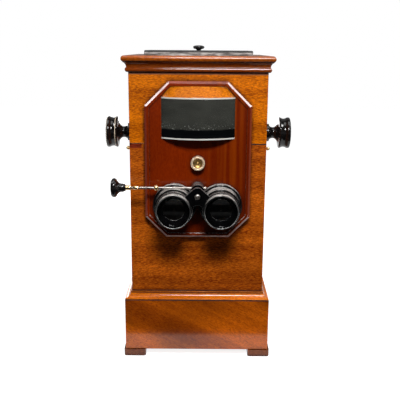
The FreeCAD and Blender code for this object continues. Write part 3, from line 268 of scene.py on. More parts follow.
def make_marks():
    """Handling marks: soft smears and fine hairlines in two directions."""
    outputs = {"Smear": "value", "Hairline": "value"}
    tree, start, end = new_group("Handling marks", {"Size": ("value", 1.0)}, outputs)
    sized = {0: object_place(tree), "Scale": start["Size"]}
    spot = put(tree, "ShaderNodeVectorMath", sized, operation="SCALE").outputs[0]
    one = noise(tree, spot, (40, 40, 1400), 1.0)
    other = noise(tree, mapped(tree, spot, (0.5, 0.9, 0.3)), (1500, 60, 60), 1.0)
    lines = maths(tree, "MAXIMUM", span(tree, one, 0.7, 0.76), span(tree, other, 0.7, 0.76))
    feed(end, Smear=span(tree, noise(tree, spot, 45.0, 4.0, 0.6), 0.35, 0.7), Hairline=lines)
    return tree


def make_mitres():
    """The grain's way in a mitred moulding: along Y at the case's sides, along X in front and behind."""
    low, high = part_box("case_front")[0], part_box("case_back")[1]
    tree, _, end = new_group("Mitred runs", {}, {"Run": "vector"})
    place = object_place(tree)
    spot = axes(tree, place)
    from_middle = apart(tree, spot["Y"], (low.y + high.y) / 2)
    past_side = maths(tree, "SUBTRACT", maths(tree, "ABSOLUTE", spot["X"]), high.x)
    past_face = maths(tree, "SUBTRACT", from_middle, (high.y - low.y) / 2)
    side = maths(tree, "GREATER_THAN", past_side, past_face)
    ways = {"Factor": side, 4: place, 5: mapped(tree, place, ALONG_Y)}
    feed(end, Run=put(tree, "ShaderNodeMix", ways, data_type="VECTOR").outputs[1])
    return tree


def make_joint_and_shadow_line():
    """A dark line level all round at one height: grime where two boards meet, and painted shadow under
    overhangs.
    """
    inputs = {"At": ("value", 0.0), "Half width": ("value", 0.001)}
    tree, start, end = new_group("Joint and shadow line", inputs, {"Line": "value"})
    away = apart(tree, axes(tree, object_place(tree))["Z"], start["At"])
    core = times(tree, start["Half width"], 0.4)
    feed(end, Line=span(tree, away, start["Half width"], core))
    return tree


GRAIN = make_grain()
EDGES = make_edges()
HOLLOWS = make_hollows()
MARKS = make_marks()
MITRES = make_mitres()
JOINT_AND_SHADOW_LINE = make_joint_and_shadow_line()


# Finishes

# Dark colours of grime in joints and hollows, which also paint shadow and shade there
JOINT_DIRT_AND_SHADOW = colour(0.012, 0.002, 0.001)
HOLLOW_SHADE_AND_DIRT = colour(0.015, 0.004, 0.002)
WORN_MAHOGANY = colour(0.62, 0.3, 0.14)
EBONY = colour(0.004, 0.0035, 0.0035)


def new_finish(name):
    material = bpy.data.materials.new(name)
    material.use_nodes = True
    return material, material.node_tree, material.node_tree.nodes["Principled BSDF"]


def bumped(tree, height, distance, normal):
    inputs = {"Height": height, "Distance": distance, "Normal": normal}
    return put(tree, "ShaderNodeBump", inputs).outputs[0]


def polished(tree, shader, grain, wood, roughness=0.12, wear=0.35, worn_and_lit_wood=WORN_MAHOGANY,
             arris=0.0007, spread=3.0, joints=(), seam=None):
    """French polish on a grained wood: painted shade and grime in hollows, dark lines of joint grime and
    painted shadow, rubbed arrises, barely open pores.
    """
    edges = use(tree, EDGES, {"Radius": arris, "Spread": spread, "Grit": 240.0})
    hollows = use(tree, HOLLOWS, {"Reach": 0.008})
    marks = use(tree, MARKS)
    # Painted shade and grime in the narrow hollows
    shaded_and_grimed = mix(tree, times(tree, hollows["Hollow"], 0.9), wood, HOLLOW_SHADE_AND_DIRT)
    colour_with_wear_and_shade = mix(tree, times(tree, edges["Edge"], wear), shaded_and_grimed, worn_and_lit_wood)
    sheen = raised(tree, roughness, 0.06, marks["Smear"])
    lines = [] if seam is None else [seam]
    for height, half_width, strength in joints:
        line = use(tree, JOINT_AND_SHADOW_LINE, {"At": height, "Half width": half_width})["Line"]
        lines.append(times(tree, line, strength))
    # Each dark line darkens and dulls the wood: joint grime, painted shadow under overhangs, and painted
    # shade in the seam
    for line in lines:
        colour_with_wear_and_shade = mix(tree, line, colour_with_wear_and_shade, JOINT_DIRT_AND_SHADOW)
        sheen = raised(tree, sheen, 0.6, line)
    wave = noise(tree, object_place(tree), 26.0, 1.0)
    relief = raised(tree, wave, 0.25, grain["Height"])
    feed(shader, Base_Color=colour_with_wear_and_shade, Roughness=sheen,
         Normal=bumped(tree, relief, 0.00005, edges["Normal"]))


def tone_set(pale, dark, pore):
    return {"Pale": colour(*pale), "Dark": colour(*dark), "Pore": colour(*pore)}


def grained(tree, run, tones, pore_strength=0.6, figure=0.15, ribbon=0.3):
    looks = {"Pore strength": pore_strength, "Figure": figure, "Ribbon": ribbon}
    return use(tree, GRAIN, {"Run": run, **tones, **looks})


def mahogany(name, tones, turn=ALONG_X, offset=(0, 0, 0), mitred=False, roughness=0.12, wear=0.35,
             gloss=0.5, joints=(), **figuring):
    """Polished wood with its grain turned and moved, along mitred runs if there are any."""
    material, tree, shader = new_finish(name)
    place = use(tree, MITRES)["Run"] if mitred else object_place(tree)
    grain = grained(tree, mapped(tree, place, turn, offset), tones, **figuring)
    polished(tree, shader, grain, grain["Colour"], roughness, wear, joints=joints)
    fix(shader, Specular_IOR_Level=gloss)
    return material


def panel_mahogany(name, tones, dark_ribbon, pale_ribbon):
    """Dark red wood with upright grain and ribbons in its right half; its downward faces are painted paler as
    a reflection of the pale floor, and its arrises low down are rubbed pale and lit by a painted highlight.
    """
    material, tree, shader = new_finish(name)
    place = object_place(tree)
    spot = axes(tree, place)
    run = mapped(tree, place, ALONG_Z)
    grain = grained(tree, run, tones, pore_strength=0.3, figure=0.1)
    streak = span(tree, noise(tree, run, (3, 110, 110)), 0.4, 0.62)
    ribbon = mix(tree, streak, dark_ribbon, pale_ribbon)
    to_right = span(tree, spot["X"], -0.03, 0.05, 0.0, 0.6)
    veined = mix(tree, to_right, grain["Colour"], ribbon)
    # Downward faces painted paler: a painted reflection of the pale floor
    underside_floor_reflection = span(tree, axes(tree, surface_normal(tree))["Z"], -0.1, -0.4, 0.0, 0.5)
    dust_and_reflection = mix(tree, underside_floor_reflection, veined, colour(0.75, 0.55, 0.5))
    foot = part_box("front_panel")[0].z
    # Low down the arrises turn pale: wear together with a painted highlight from the floor
    low = span(tree, spot["Z"], foot + 0.04, foot + 0.03)
    worn_and_lit_wood = mix(tree, low, colour(0.4, 0.19, 0.1), colour(0.95, 0.74, 0.68))
    wear = span(tree, low, 0.0, 1.0, 0.2, 0.95)
    polished(tree, shader, grain, dust_and_reflection, 0.1, wear, worn_and_lit_wood, arris=0.0008, spread=9.0)
    return material


def front_mahogany(name, tones, offset, seam, joints, patch=0.0, bruise=0.0):
    """A front board: painted shade in the seam on its right, and on its left a red repair or a bruised edge.
    """
    material, tree, shader = new_finish(name)
    place = object_place(tree)
    spot = axes(tree, place)
    left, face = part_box("case_front")[0].xy
    grain = grained(tree, mapped(tree, place, shift=offset), tones, ribbon=0.42)
    from_seam = apart(tree, spot["Z"], seam)
    chips = noise(tree, place, (160, 160, 420), 3.0)
    ragged = times(tree, chips, 0.004)
    near_seam = span(tree, maths(tree, "SUBTRACT", from_seam, ragged), 0.0055, 0.0035, 0.0, patch)
    beside = span(tree, maths(tree, "ADD", spot["X"], ragged), left + 0.021, left + 0.0175)
    filler = mix(tree, span(tree, chips, 0.4, 0.6), colour(0.06, 0.005, 0.003), colour(0.2, 0.02, 0.008))
    repaired = mix(tree, times(tree, near_seam, beside), grain["Colour"], filler)
    at_edge = span(tree, from_seam, 0.0009, 0.0005, 0.0, bruise)
    at_left = span(tree, spot["X"], left + 0.024, left + 0.018)
    bruised = mix(tree, times(tree, at_edge, at_left), repaired, colour(0.5, 0.33, 0.2))
    # Painted shade in the seam on the right, standing for an open gap between hood and case
    at_right = span(tree, spot["X"], 0.03, 0.075)
    at_face = span(tree, spot["Y"], face + 0.0012, face + 0.0004)
    in_seam = span(tree, from_seam, 0.0012, 0.0007)
    seam_shade = times(tree, in_seam, times(tree, at_right, at_face))
    polished(tree, shader, grain, bruised, joints=joints, seam=seam_shade)
    return material


def stained(name, shade, roughness):
    """Plain inside wood under one coat of stain, with its grain along X."""
    material, tree, shader = new_finish(name)
    pale, dark = [[channel * part for channel in shade] for part in (1.25, 0.75)]
    tones = tone_set(pale, dark, dark)
    grain = grained(tree, object_place(tree), tones, pore_strength=0.5, figure=0.1)
    edges = use(tree, EDGES, {"Radius": 0.0005})
    feed(shader, Base_Color=grain["Colour"],
         Roughness=raised(tree, roughness, 0.12, grain["Pores"]),
         Normal=bumped(tree, grain["Height"], 0.0001, edges["Normal"]))
    return material


def blackened(name, base, beneath, roughness, wear=0.0, rings=()):
    """Black finish, rubbed through at its edges by the wear given, and along rings that stand across X."""
    material, tree, shader = new_finish(name)
    place = object_place(tree)
    edges = use(tree, EDGES, {"Radius": 0.0005, "Spread": 4.0, "Grit": 420.0})
    marks = use(tree, MARKS, {"Size": 1.5})
    rubbed = times(tree, edges["Edge"], wear)
    for ring, half_width, strength in rings:
        band = span(tree, apart(tree, axes(tree, place)["X"], ring), half_width, half_width * 0.5)
        patchy = span(tree, noise(tree, place, 180.0), 0.3, 0.5, strength / 2, strength)
        rubbed = maths(tree, "MAXIMUM", rubbed, times(tree, band, patchy))
    dust_and_reflection = mix(tree, times(tree, marks["Smear"], 0.02), base, colour(0.3, 0.28, 0.26))
    scratched = mix(tree, times(tree, marks["Hairline"], 0.02), dust_and_reflection, beneath)
    sheen = raised(tree, roughness, 0.05, marks["Smear"])
    feed(shader, Base_Color=mix(tree, rubbed, scratched, beneath),
         Roughness=raised(tree, sheen, 0.3, rubbed),
         Normal=bumped(tree, marks["Smear"], 0.00004, edges["Normal"]))
    return material


def eyepiece_lacquer(name, upper_paling, gloss):
    """Black lacquer of the eyepieces: paler and mottled on the upper sides, rubbed along the crest edges and
    brighter there low on the rims as a painted highlight, black inside the mouths.
    """
    material, tree, shader = new_finish(name)
    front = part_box("eyepiece_right")[0].y
    eye = centre("eyepiece_right")
    place = object_place(tree)
    spot = axes(tree, place)
    edges = use(tree, EDGES, {"Radius": 0.0014, "Spread": 4.0, "Grit": 90.0})
    marks = use(tree, MARKS, {"Size": 1.5})
    aside = maths(tree, "SUBTRACT", maths(tree, "ABSOLUTE", spot["X"]), eye.x)
    rise = maths(tree, "SUBTRACT", spot["Z"], eye.z)
    from_eye = length(tree, joined(tree, X=aside, Y=rise))
    outside = span(tree, from_eye, MOUTH_RADIUS + 0.0003, MOUTH_RADIUS + 0.0012, 0.0, upper_paling)
    upward = span(tree, axes(tree, surface_normal(tree))["Z"], 0.3, 0.95)
    mottle = span(tree, noise(tree, place, (130, 1100, 130), 3.0, 0.65), 0.35, 0.65, 0.1, 1.0)
    paling = times(tree, times(tree, upward, mottle), outside)
    at_front = span(tree, spot["Y"], front + 0.0008, front + 0.0003)
    patchy = span(tree, noise(tree, place, 60.0, 3.0), 0.38, 0.62, 0.0, 0.06)
    # Crest edges rubbed, and low on the rims brightened as a painted highlight
    crests_and_low_glints = times(tree, edges["Edge"], span(tree, rise, 0.002, -0.01, 0.12, 1.0))
    # The rubbed mask also holds that painted highlight low on the rims
    rubbed = maths(tree, "MAXIMUM", times(tree, at_front, patchy), crests_and_low_glints)
    smeared = times(tree, marks["Smear"], 0.004)
    black = mix(tree, smeared, colour(0.0015, 0.0015, 0.0018), colour(0.3, 0.3, 0.3))
    paled = mix(tree, paling, black, colour(0.7, 0.65, 0.61))
    sheen = raised(tree, 0.07, 0.06, marks["Smear"])
    feed(shader, Base_Color=mix(tree, rubbed, paled, colour(0.85, 0.84, 0.82)),
         Roughness=raised(tree, sheen, 0.3, maths(tree, "MAXIMUM", rubbed, paling)),
         Normal=bumped(tree, marks["Smear"], 0.00004, edges["Normal"]))
    fix(shader, Specular_IOR_Level=gloss)
    return material


def bare_metal(name, base, tarnish, roughness, tarnished=0.4, metallic=1.0):
    """Metal dulled in smears and hollows, and crossed by fine hairlines."""
    material, tree, shader = new_finish(name)
    edges = use(tree, EDGES, {"Radius": 0.0003, "Spread": 3.0, "Grit": 500.0})
    hollows = use(tree, HOLLOWS, {"Reach": 0.002})
    marks = use(tree, MARKS, {"Size": 2.0})
    grime = times(tree, hollows["Hollow"], 0.5)
    stain = raised(tree, grime, tarnished, marks["Smear"])
    dull = raised(tree, roughness, 0.25, stain)
    feed(shader, Base_Color=mix(tree, stain, base, tarnish),
         Roughness=raised(tree, dull, 0.15, marks["Hairline"]),
         Normal=bumped(tree, marks["Hairline"], 0.00002, edges["Normal"]))
    fix(shader, Metallic=metallic)
    return material


def sheet_zinc(name):
    """Grey sheet metal: black with grime on top, paler and streaked by wiping on its sides."""
    material, tree, shader = new_finish(name)
    place = object_place(tree)
    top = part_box("flap_frame")[1].z
    edges = use(tree, EDGES, {"Radius": 0.0004, "Spread": 3.0, "Grit": 260.0})
    streak = noise(tree, place, (60, 240, 300), 4.0, 0.65)
    paling = span(tree, streak, 0.35, 0.7)
    grey = mix(tree, paling, colour(0.16, 0.155, 0.15), colour(0.55, 0.54, 0.52))
    on_top = span(tree, axes(tree, place)["Z"], top - 0.0034, top - 0.0021)
    grime = times(tree, on_top, span(tree, streak, 0.3, 0.65, 1.0, 0.93))
    rubbed = mix(tree, times(tree, edges["Edge"], 0.5), grey, colour(0.6, 0.6, 0.58))
    dull = span(tree, paling, 0.0, 1.0, 0.32, 0.5)
    feed(shader, Base_Color=mix(tree, grime, rubbed, colour(0.012, 0.011, 0.01)),
         Roughness=raised(tree, dull, 0.3, grime),
         Metallic=span(tree, grime, 0.0, 1.0, 0.85, 0.1),
         Normal=bumped(tree, streak, 0.0002, edges["Normal"]))
    return material


def clear_glass(name):
    """Glass with a thin film of dust that dulls it in patches."""
    material, tree, shader = new_finish(name)
    place = object_place(tree)
    film = span(tree, noise(tree, place, 60.0, 5.0, 0.7), 0.5, 0.8)
    specks = span(tree, noise(tree, place, 900.0), 0.7, 0.78)
    dull = maths(tree, "ADD", film, specks, clamp=True)
    feed(shader, Base_Color=mix(tree, dull, colour(0.85, 0.87, 0.86), colour(0.7, 0.71, 0.68)),
         Roughness=times(tree, dull, 0.03))
    fix(shader, Transmission_Weight=1.0, IOR=1.5)
    return material


def glass_with_painted_reflection(name, bottom, top):
    """The window's old glass with a painted reflection: black below a band between two heights and grey above
    it, as of a dark table under a grey room, dulled by a patchy film, with dust specks in the band.
    """
    material, tree, shader = new_finish(name)
    place = object_place(tree)
    height = axes(tree, place)["Z"]
    film = span(tree, noise(tree, place, (25, 25, 60), 4.0, 0.6), 0.3, 0.7, 0.8, 1.15)
    ragged = raised(tree, height, 0.003, noise(tree, place, 120.0, 3.0))
    # Painted reflection: black glass below the lower height, grey above the upper one
    reflection_rise = span(tree, ragged, bottom, top)
    grey = mix(tree, reflection_rise, colour(0.006, 0.007, 0.008), colour(0.088, 0.09, 0.077))
    dust_and_reflection = times(tree, span(tree, height, top + 0.01, top), span(tree, height, bottom - 0.001, bottom))
    specks = span(tree, noise(tree, place, (420, 420, 700), 2.0, 0.6), 0.6, 0.7)
    speckled = mix(tree, times(tree, specks, dust_and_reflection), grey, colour(0.6, 0.62, 0.56))
    feed(shader, Base_Color=mix(tree, 1.0, speckled, film, "MULTIPLY"),
         Roughness=span(tree, film, 0.8, 1.15, 0.01, 0.06))
    fix(shader, Transmission_Weight=0.6, IOR=1.6)
    return material


def looking_glass(name):
    """Silvered glass with dark spots."""
    material, tree, shader = new_finish(name)
    spots = span(tree, noise(tree, object_place(tree), 70.0, 5.0, 0.7), 0.62, 0.75)
    feed(shader, Base_Color=mix(tree, spots, colour(0.82, 0.83, 0.82), colour(0.35, 0.32, 0.27)),
         Roughness=span(tree, spots, 0.0, 1.0, 0.02, 0.3))
    fix(shader, Metallic=1.0)
    return material


def threads(tree, vector, scale, way):
    inputs = {"Vector": vector, "Scale": scale, "Distortion": 0.4}
    return put(tree, "ShaderNodeTexWave", inputs, bands_direction=way).outputs["Fac"]


def webbing(name):
    """Cotton tape: a plain weave of warp along the tape and weft across it, laid out in millimetres."""
    material, tree, shader = new_finish(name)
    flat = put(tree, "ShaderNodeUVMap", uv_map="weave").outputs[0]
    weave = times(tree, threads(tree, flat, 0.32, "Y"), threads(tree, flat, 0.4, "X"))
    soil = span(tree, noise(tree, object_place(tree), 35.0, 4.0), 0.3, 0.75)
    cloth = mix(tree, soil, colour(0.5, 0.43, 0.31), colour(0.3, 0.24, 0.16))
    feed(shader, Base_Color=mix(tree, times(tree, weave, 0.45), cloth, colour(0.14, 0.1, 0.07)),
         Normal=put(tree, "ShaderNodeBump", {"Height": weave, "Distance": 0.0002}).outputs[0])
    fix(shader, Roughness=0.9)
    return material


def printed_card(name):
    """Buff card with a pair of brown landscape prints: sky, far hills and a dark near bank."""
    material, tree, shader = new_finish(name)
    flat = axes(tree, put(tree, "ShaderNodeUVMap", uv_map="card").outputs[0])
    number = maths(tree, "FLOOR", flat["X"])
    half = maths(tree, "FRACT", times(tree, maths(tree, "FRACT", flat["X"]), 2.0))
    in_width = maths(tree, "LESS_THAN", apart(tree, half, 0.5), 0.455)
    in_height = maths(tree, "LESS_THAN", apart(tree, flat["Y"], 0.5), 0.445)
    pane = times(tree, in_width, in_height)
    ridge_line = joined(tree, X=half, Z=number)
    hills = span(tree, noise(tree, ridge_line, 3.0, 4.0), 0.2, 0.8, 0.35, 0.75)
    bank = span(tree, noise(tree, ridge_line, 5.5, 5.0), 0.2, 0.8, 0.1, 0.4)
    leaf = noise(tree, joined(tree, X=half, Y=flat["Y"], Z=number), 24.0, 5.0, 0.7)
    sky = mix(tree, span(tree, flat["Y"], 0.4, 0.95), colour(0.62, 0.5, 0.34), colour(0.4, 0.3, 0.18))
    far = mix(tree, maths(tree, "LESS_THAN", flat["Y"], hills), sky, colour(0.24, 0.16, 0.085))
    dark = mix(tree, leaf, colour(0.03, 0.018, 0.01), colour(0.2, 0.13, 0.07))
    near = mix(tree, maths(tree, "LESS_THAN", flat["Y"], bank), far, dark)
    foxing = span(tree, noise(tree, object_place(tree), 130.0, 4.0), 0.62, 0.75)
    buff = mix(tree, foxing, colour(0.55, 0.42, 0.25), colour(0.36, 0.24, 0.12))
    feed(shader, Base_Color=mix(tree, pane, buff, near),
         Roughness=span(tree, pane, 0.0, 1.0, 0.85, 0.42))
    return material


HOOD_TONES = tone_set((0.82, 0.21, 0.002), (0.25, 0.044, 0.001), (0.14, 0.02, 0.0005))
CASE_TONES = tone_set((0.71, 0.16, 0.008), (0.19, 0.028, 0.0024), (0.08, 0.009, 0.0003))
PLINTH_TONES = tone_set((0.57, 0.12, 0.0033), (0.22, 0.036, 0.0012), (0.08, 0.01, 0.0003))
BASE_TONES = tone_set((0.8, 0.2, 0.003), (0.5, 0.1, 0.002), (0.12, 0.018, 0.0005))
TOP_TONES = tone_set((0.4, 0.09, 0.003), (0.19, 0.034, 0.001), (0.09, 0.014, 0.0005))
# The cornice's tones are far darker than the case's: painted shade on its shadowed ogee
CORNICE_SHADED_TONES = tone_set((0.24, 0.045, 0.002), (0.11, 0.016, 0.001), (0.06, 0.009, 0.0003))
FOOT_TONES = tone_set((0.24, 0.055, 0.006), (0.13, 0.024, 0.003), (0.05, 0.008, 0.001))
ROOF_TONES = tone_set((0.62, 0.18, 0.006), (0.28, 0.055, 0.002), (0.12, 0.02, 0.001))
PANEL_TONES = tone_set((0.21, 0.02, 0.0003), (0.15, 0.012, 0.0002), (0.07, 0.005, 0.0001))

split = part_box("case_front")[1].z
plinth_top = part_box("base_moulding")[0].z
moulding_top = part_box("base_moulding")[1].z
cornice_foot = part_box("cornice")[0].z
window_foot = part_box("window_glass")[0].z
knob_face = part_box("knob_left")[0].x

# Dark lines are given as height, half width and strength, and rings as place, half width and strength; the
# dark lines hold joint grime and painted shadow.
# Grime and painted shade in the corner where the case front meets the base moulding
case_front_wood = front_mahogany("mahogany_case_front", CASE_TONES, (0, 0, 0), split, patch=0.9,
                                 joints=[(moulding_top, 0.0026, 0.8)])
# A wide dark band under the cornice on the hood front is painted shadow cast by the cornice
hood_front_wood = front_mahogany("mahogany_hood_front", HOOD_TONES, (0.3, 0, 0.2), split, bruise=0.7,
                                 joints=[(cornice_foot, 0.0045, 0.85)])
hood_wood = mahogany("mahogany_hood", HOOD_TONES, offset=(0.3, 0, 0.2))
top_wood = mahogany("mahogany_top", TOP_TONES, offset=(0.2, 0.1, 0))
back_wood = mahogany("mahogany_case_back", CASE_TONES, offset=(0.3, 0, 0.2))
side_wood = mahogany("mahogany_sides", CASE_TONES, ALONG_Y, offset=(0.1, 0, 0.5))
foot_wood = mahogany("mahogany_feet", FOOT_TONES)
roof_wood = mahogany("mahogany_window_roof", ROOF_TONES, gloss=0.06, pore_strength=0.75, figure=0.1)
# The dark line at the cornice's foot is painted shadow under its lower bead
cornice_wood = mahogany("mahogany_cornice", CORNICE_SHADED_TONES, mitred=True, roughness=0.08, wear=0.1,
                        joints=[(cornice_foot, 0.0016, 0.9)], pore_strength=0.5, figure=0.2)
# Base moulding: a thin glue line at the plinth, and painted shade in the fillet under its top
base_wood = mahogany("mahogany_base", BASE_TONES, mitred=True, gloss=0.3, pore_strength=0.5, figure=0.2,
                     joints=[(plinth_top, 0.0008, 0.95), (moulding_top - 0.0018, 0.0014, 0.7)])
# The dark line on the plinth's top is painted shadow under the base moulding
plinth_wood = mahogany("mahogany_plinth", PLINTH_TONES, SLANTED, mitred=True, roughness=0.04, gloss=0.7,
                       joints=[(plinth_top, 0.0017, 0.95)], pore_strength=0.5, figure=0.3, ribbon=0.65)
panel_wood = panel_mahogany("mahogany_panel", PANEL_TONES, dark_ribbon=colour(0.09, 0.007, 0.0002),
                            pale_ribbon=colour(0.23, 0.036, 0.0005))
inner_wood = stained("black_stained_pine", (0.02, 0.017, 0.015), 0.6)
roller_wood = stained("plain_beech", (0.48, 0.32, 0.17), 0.5)
ebony = blackened("ebonised_wood", EBONY, colour(0.6, 0.5, 0.36), 0.1)
worn_ebony = blackened("ebonised_wood_worn", EBONY, colour(0.75, 0.62, 0.46), 0.1,
                       rings=[(knob_face + 0.0148, 0.0009, 1.0), (knob_face + 0.0016, 0.0007, 0.4)])
tin = blackened("black_japanned_tin", colour(0.02, 0.019, 0.018), colour(0.4, 0.39, 0.37), 0.4, wear=0.5)
lacquer = eyepiece_lacquer("black_lacquer", upper_paling=0.95, gloss=0.5)
bridge_lacquer = eyepiece_lacquer("black_lacquer_bridge", upper_paling=0.25, gloss=0.15)
brass = bare_metal("lacquered_brass", colour(0.9, 0.67, 0.36), colour(0.4, 0.25, 0.1), 0.2)
bezel_brass = bare_metal("rubbed_brass", colour(0.98, 0.8, 0.58), colour(0.72, 0.5, 0.27), 0.24,
                         metallic=0.55)
# The button's brass is darker than the bezel's: painted shade for its place deep in the bezel's recess
recess_shaded_brass = bare_metal("brass_shaded_in_recess", colour(0.7, 0.45, 0.16), colour(0.36, 0.2, 0.06), 0.3)
steel = bare_metal("bright_steel", colour(0.36, 0.33, 0.3), colour(0.17, 0.14, 0.12), 0.25)
nickel = bare_metal("white_metal_strip", colour(0.93, 0.91, 0.86), colour(0.7, 0.64, 0.54), 0.38,
                    tarnished=0.25, metallic=0.45)
zinc = sheet_zinc("grey_sheet_metal")
# Painted reflection on the window: black up to 12.5 mm above its foot, grey from 15 mm
window_pane = glass_with_painted_reflection("window_glass_with_painted_reflection", window_foot + 0.0125, window_foot + 0.015)
lens_glass = clear_glass("lens_glass")
mirror = looking_glass("flap_mirror_glass")
tape_cloth = webbing("cotton_tape")
card_print = printed_card("stereo_card_print")

FINISHES = {
    case_front_wood: ["case_front"],
    hood_front_wood: ["hood_front"],
    hood_wood: ["hood_back"],
    top_wood: ["top_board"],
    back_wood: ["case_back"],
    side_wood: ["case_left", "case_right", "hood_left", "hood_right"],
    cornice_wood: ["cornice"],
    base_wood: ["base_moulding"],
    plinth_wood: ["plinth_boards"],
    foot_wood: ["feet"],
    panel_wood: ["front_panel"],
    roof_wood: ["window_roof"],
    inner_wood: ["floor_board", "septum"],
    roller_wood: ["top_roller", "idler_roller", "idler_bearings"],
    ebony: ["knob_right", "focus_knob", "flap_knob"],
    worn_ebony: ["knob_left"],
    lacquer: ["sleeve_left", "sleeve_right", "eyepiece_left", "eyepiece_right", "lens_rings"],
    bridge_lacquer: ["bridge", "pinion_housing"],
    tin: ["card_frames"],
    bezel_brass: ["button_bezel"],
    recess_shaded_brass: ["catch_button"],
    brass: ["rod_beads", "axle_bushes", "hinge_leaves_lower", "hinge_leaves_upper",
            "flap_hinge_leaves", "hook_pegs", "hook_keepers", "hook_left", "hook_right", "catch_bracket",
            "focus_rack", "focus_pinion", "focus_ferrule"],
    steel: ["axle", "focus_rod", "hinge_pins", "catch_lever", "bridge_screw"],
    nickel: ["window_caps"],
    zinc: ["flap_frame"],
    window_pane: ["window_glass"],
    lens_glass: ["lens_left", "lens_right"],
    mirror: ["flap_mirror"],
    tape_cloth: ["tapes"],
    card_print: ["stereo_cards"],
}


def dress_nodes():
    for material, names in FINISHES.items():
        for name in names:
            slots = nodes[name].data.materials
            slots.clear()
            slots.append(material)
    bare = set(nodes) - {name for names in FINISHES.values() for name in names}
    if bare:
        raise RuntimeError("no finish for " + ", ".join(sorted(bare)))


# Pieces

def new_mesh(name, made):
    mesh = bpy.data.meshes.new(name)
    made.to_mesh(mesh)
    made.free()
    return mesh


def add_piece(name, mesh, material, body):
    piece = bpy.data.objects.new(name, mesh)
    bpy.context.scene.collection.objects.link(piece)
    mesh.materials.append(material)
    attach(piece, body)
    return piece


def seated(at, outward):
    """The move that carries a shape made along +Z to its seat, pointing outward."""
    turn = Vector((0, 0, 1)).rotation_difference(outward)
    return Matrix.Translation(at) @ turn.to_matrix().to_4x4()


def turn_profile(profile):
    """Turns steps of (radius, height) about Z, closed flat at the first step and pointed at the last."""
    made = bmesh.new()
    circle = [2 * math.pi * step / TURNED_SIDES for step in range(TURNED_SIDES)]
    rings = [[made.verts.new((out * math.cos(angle), out * math.sin(angle), height)) for angle in circle]
             for out, height in profile[:-1]]
    tip = made.verts.new((0, 0, profile[-1][1]))
    made.faces.new(list(reversed(rings[0])))
    for step in range(TURNED_SIDES):
        following = (step + 1) % TURNED_SIDES
        for lower, upper in zip(rings, rings[1:]):
            made.faces.new((lower[step], lower[following], upper[following], upper[step]))
        made.faces.new((rings[-1][step], rings[-1][following], tip))
    return made


def screw_profile(radius, dome, depth, shank):
    """Steps of a round-headed screw: its shank, the edge of its head, and a dome."""
    curve = (radius ** 2 + dome ** 2) / (2 * dome)
    profile = [(radius / 2, -shank), (radius / 2, -depth), (radius, -depth)]
    for row in range(DOME_ROWS + 1):
        out = radius * (1 - row / DOME_ROWS)
        profile.append((out, math.sqrt(curve ** 2 - out ** 2) - curve + dome))
    return profile


def cut_slot(made, width, depth, turn):
    """Sinks the strip of the head that lies between two planes."""
    across = Vector((math.cos(turn), math.sin(turn), 0))
    for sign in (-1, 1):
        everything = made.verts[:] + made.edges[:] + made.faces[:]
        bmesh.ops.bisect_plane(made, geom=everything, plane_co=across * width / 2 * sign, plane_no=across)
    made.normal_update()
    strip = [face for face in made.faces
             if abs(face.calc_center_median().dot(across)) < width * 0.45 and face.normal.z > 0.2]
    sunk = bmesh.ops.extrude_face_region(made, geom=strip)
    for item in sunk["geom"]:
        if isinstance(item, bmesh.types.BMVert):
            item.co.z = -depth * 0.1


def add_screw(name, at, outward, material, body, radius, turn, dome, depth=0.0006, shank=0.0008):
    """A slotted screw: its dome is a part of its radius, and its slot is turned by an angle."""
    made = turn_profile(screw_profile(radius, radius * dome, depth, shank))
    cut_slot(made, radius * 0.2, radius * dome, turn)
    mesh = new_mesh(name, made)
    small_face = radius * radius * 0.05
    for face in mesh.polygons:
        face.use_smooth = face.area < small_face
    mesh.transform(seated(at, Vector(outward)))
    return add_piece(name, mesh, material, body)


def add_screws():
    """A slotted screw in place of the bridge's plain one, and screws in the leaves of the hinges."""
    at = centre("bridge_screw")
    at.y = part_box("bridge")[0].y
    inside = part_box("bridge_screw")[1].y - at.y
    screw = add_screw("bridge_screw_slotted", at, (0, -1, 0), steel, "eyepieces",
                      radius=0.004, turn=0.9, dome=0.5, depth=0.0002, shank=inside)
    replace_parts(screw, "bridge_screw")
    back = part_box("case_back")[1].y + HINGE_LEAF
    leaf_holes = [(-0.0105, 0.0085), (0.0, 0.0135), (0.0105, 0.0085)]
    places = itertools.product((-HINGE_AT, HINGE_AT), leaf_holes, (("case", -1), ("hood", 1)))
    for number, (side, (along, away), (body, sign)) in enumerate(places, 1):
        at = Vector((side + along, back, split + sign * away))
        add_screw("hinge_screw_%d" % number, at, (0, 1, 0), brass, body,
                  radius=0.0021, turn=0.7 * number, dome=0.25)
    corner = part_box("flap_hinge_leaves")[1]
    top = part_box("top_board")[1].z + HINGE_LEAF
    for number, side in enumerate((-1, 1), 1):
        at = Vector((side * (corner.x - FLAP_INSET), corner.y - FLAP_INSET, top))
        add_screw("flap_hinge_screw_%d" % number, at, (0, 0, 1), brass, "hood",
                  radius=0.0019, turn=0.1 + number, dome=0.25)


def mushroom_profile(cap, tall):
    """Steps of a full mushroom cap on a waisted stem."""
    stem, waist, under = cap * 0.44, cap * 0.38, tall * 0.28
    profile = [(stem, 0.0), (waist, under * 0.5)]
    for row in range(1, CAP_ROWS):
        turn = math.pi * row / CAP_ROWS
        inner = waist if row < CAP_ROWS / 2 else 0.0
        height = under + (tall - under) * (1 - math.cos(turn)) / 2
        profile.append((inner + (cap - inner) * math.sin(turn) ** 0.7, height))
    return profile + [(0.0, tall)]


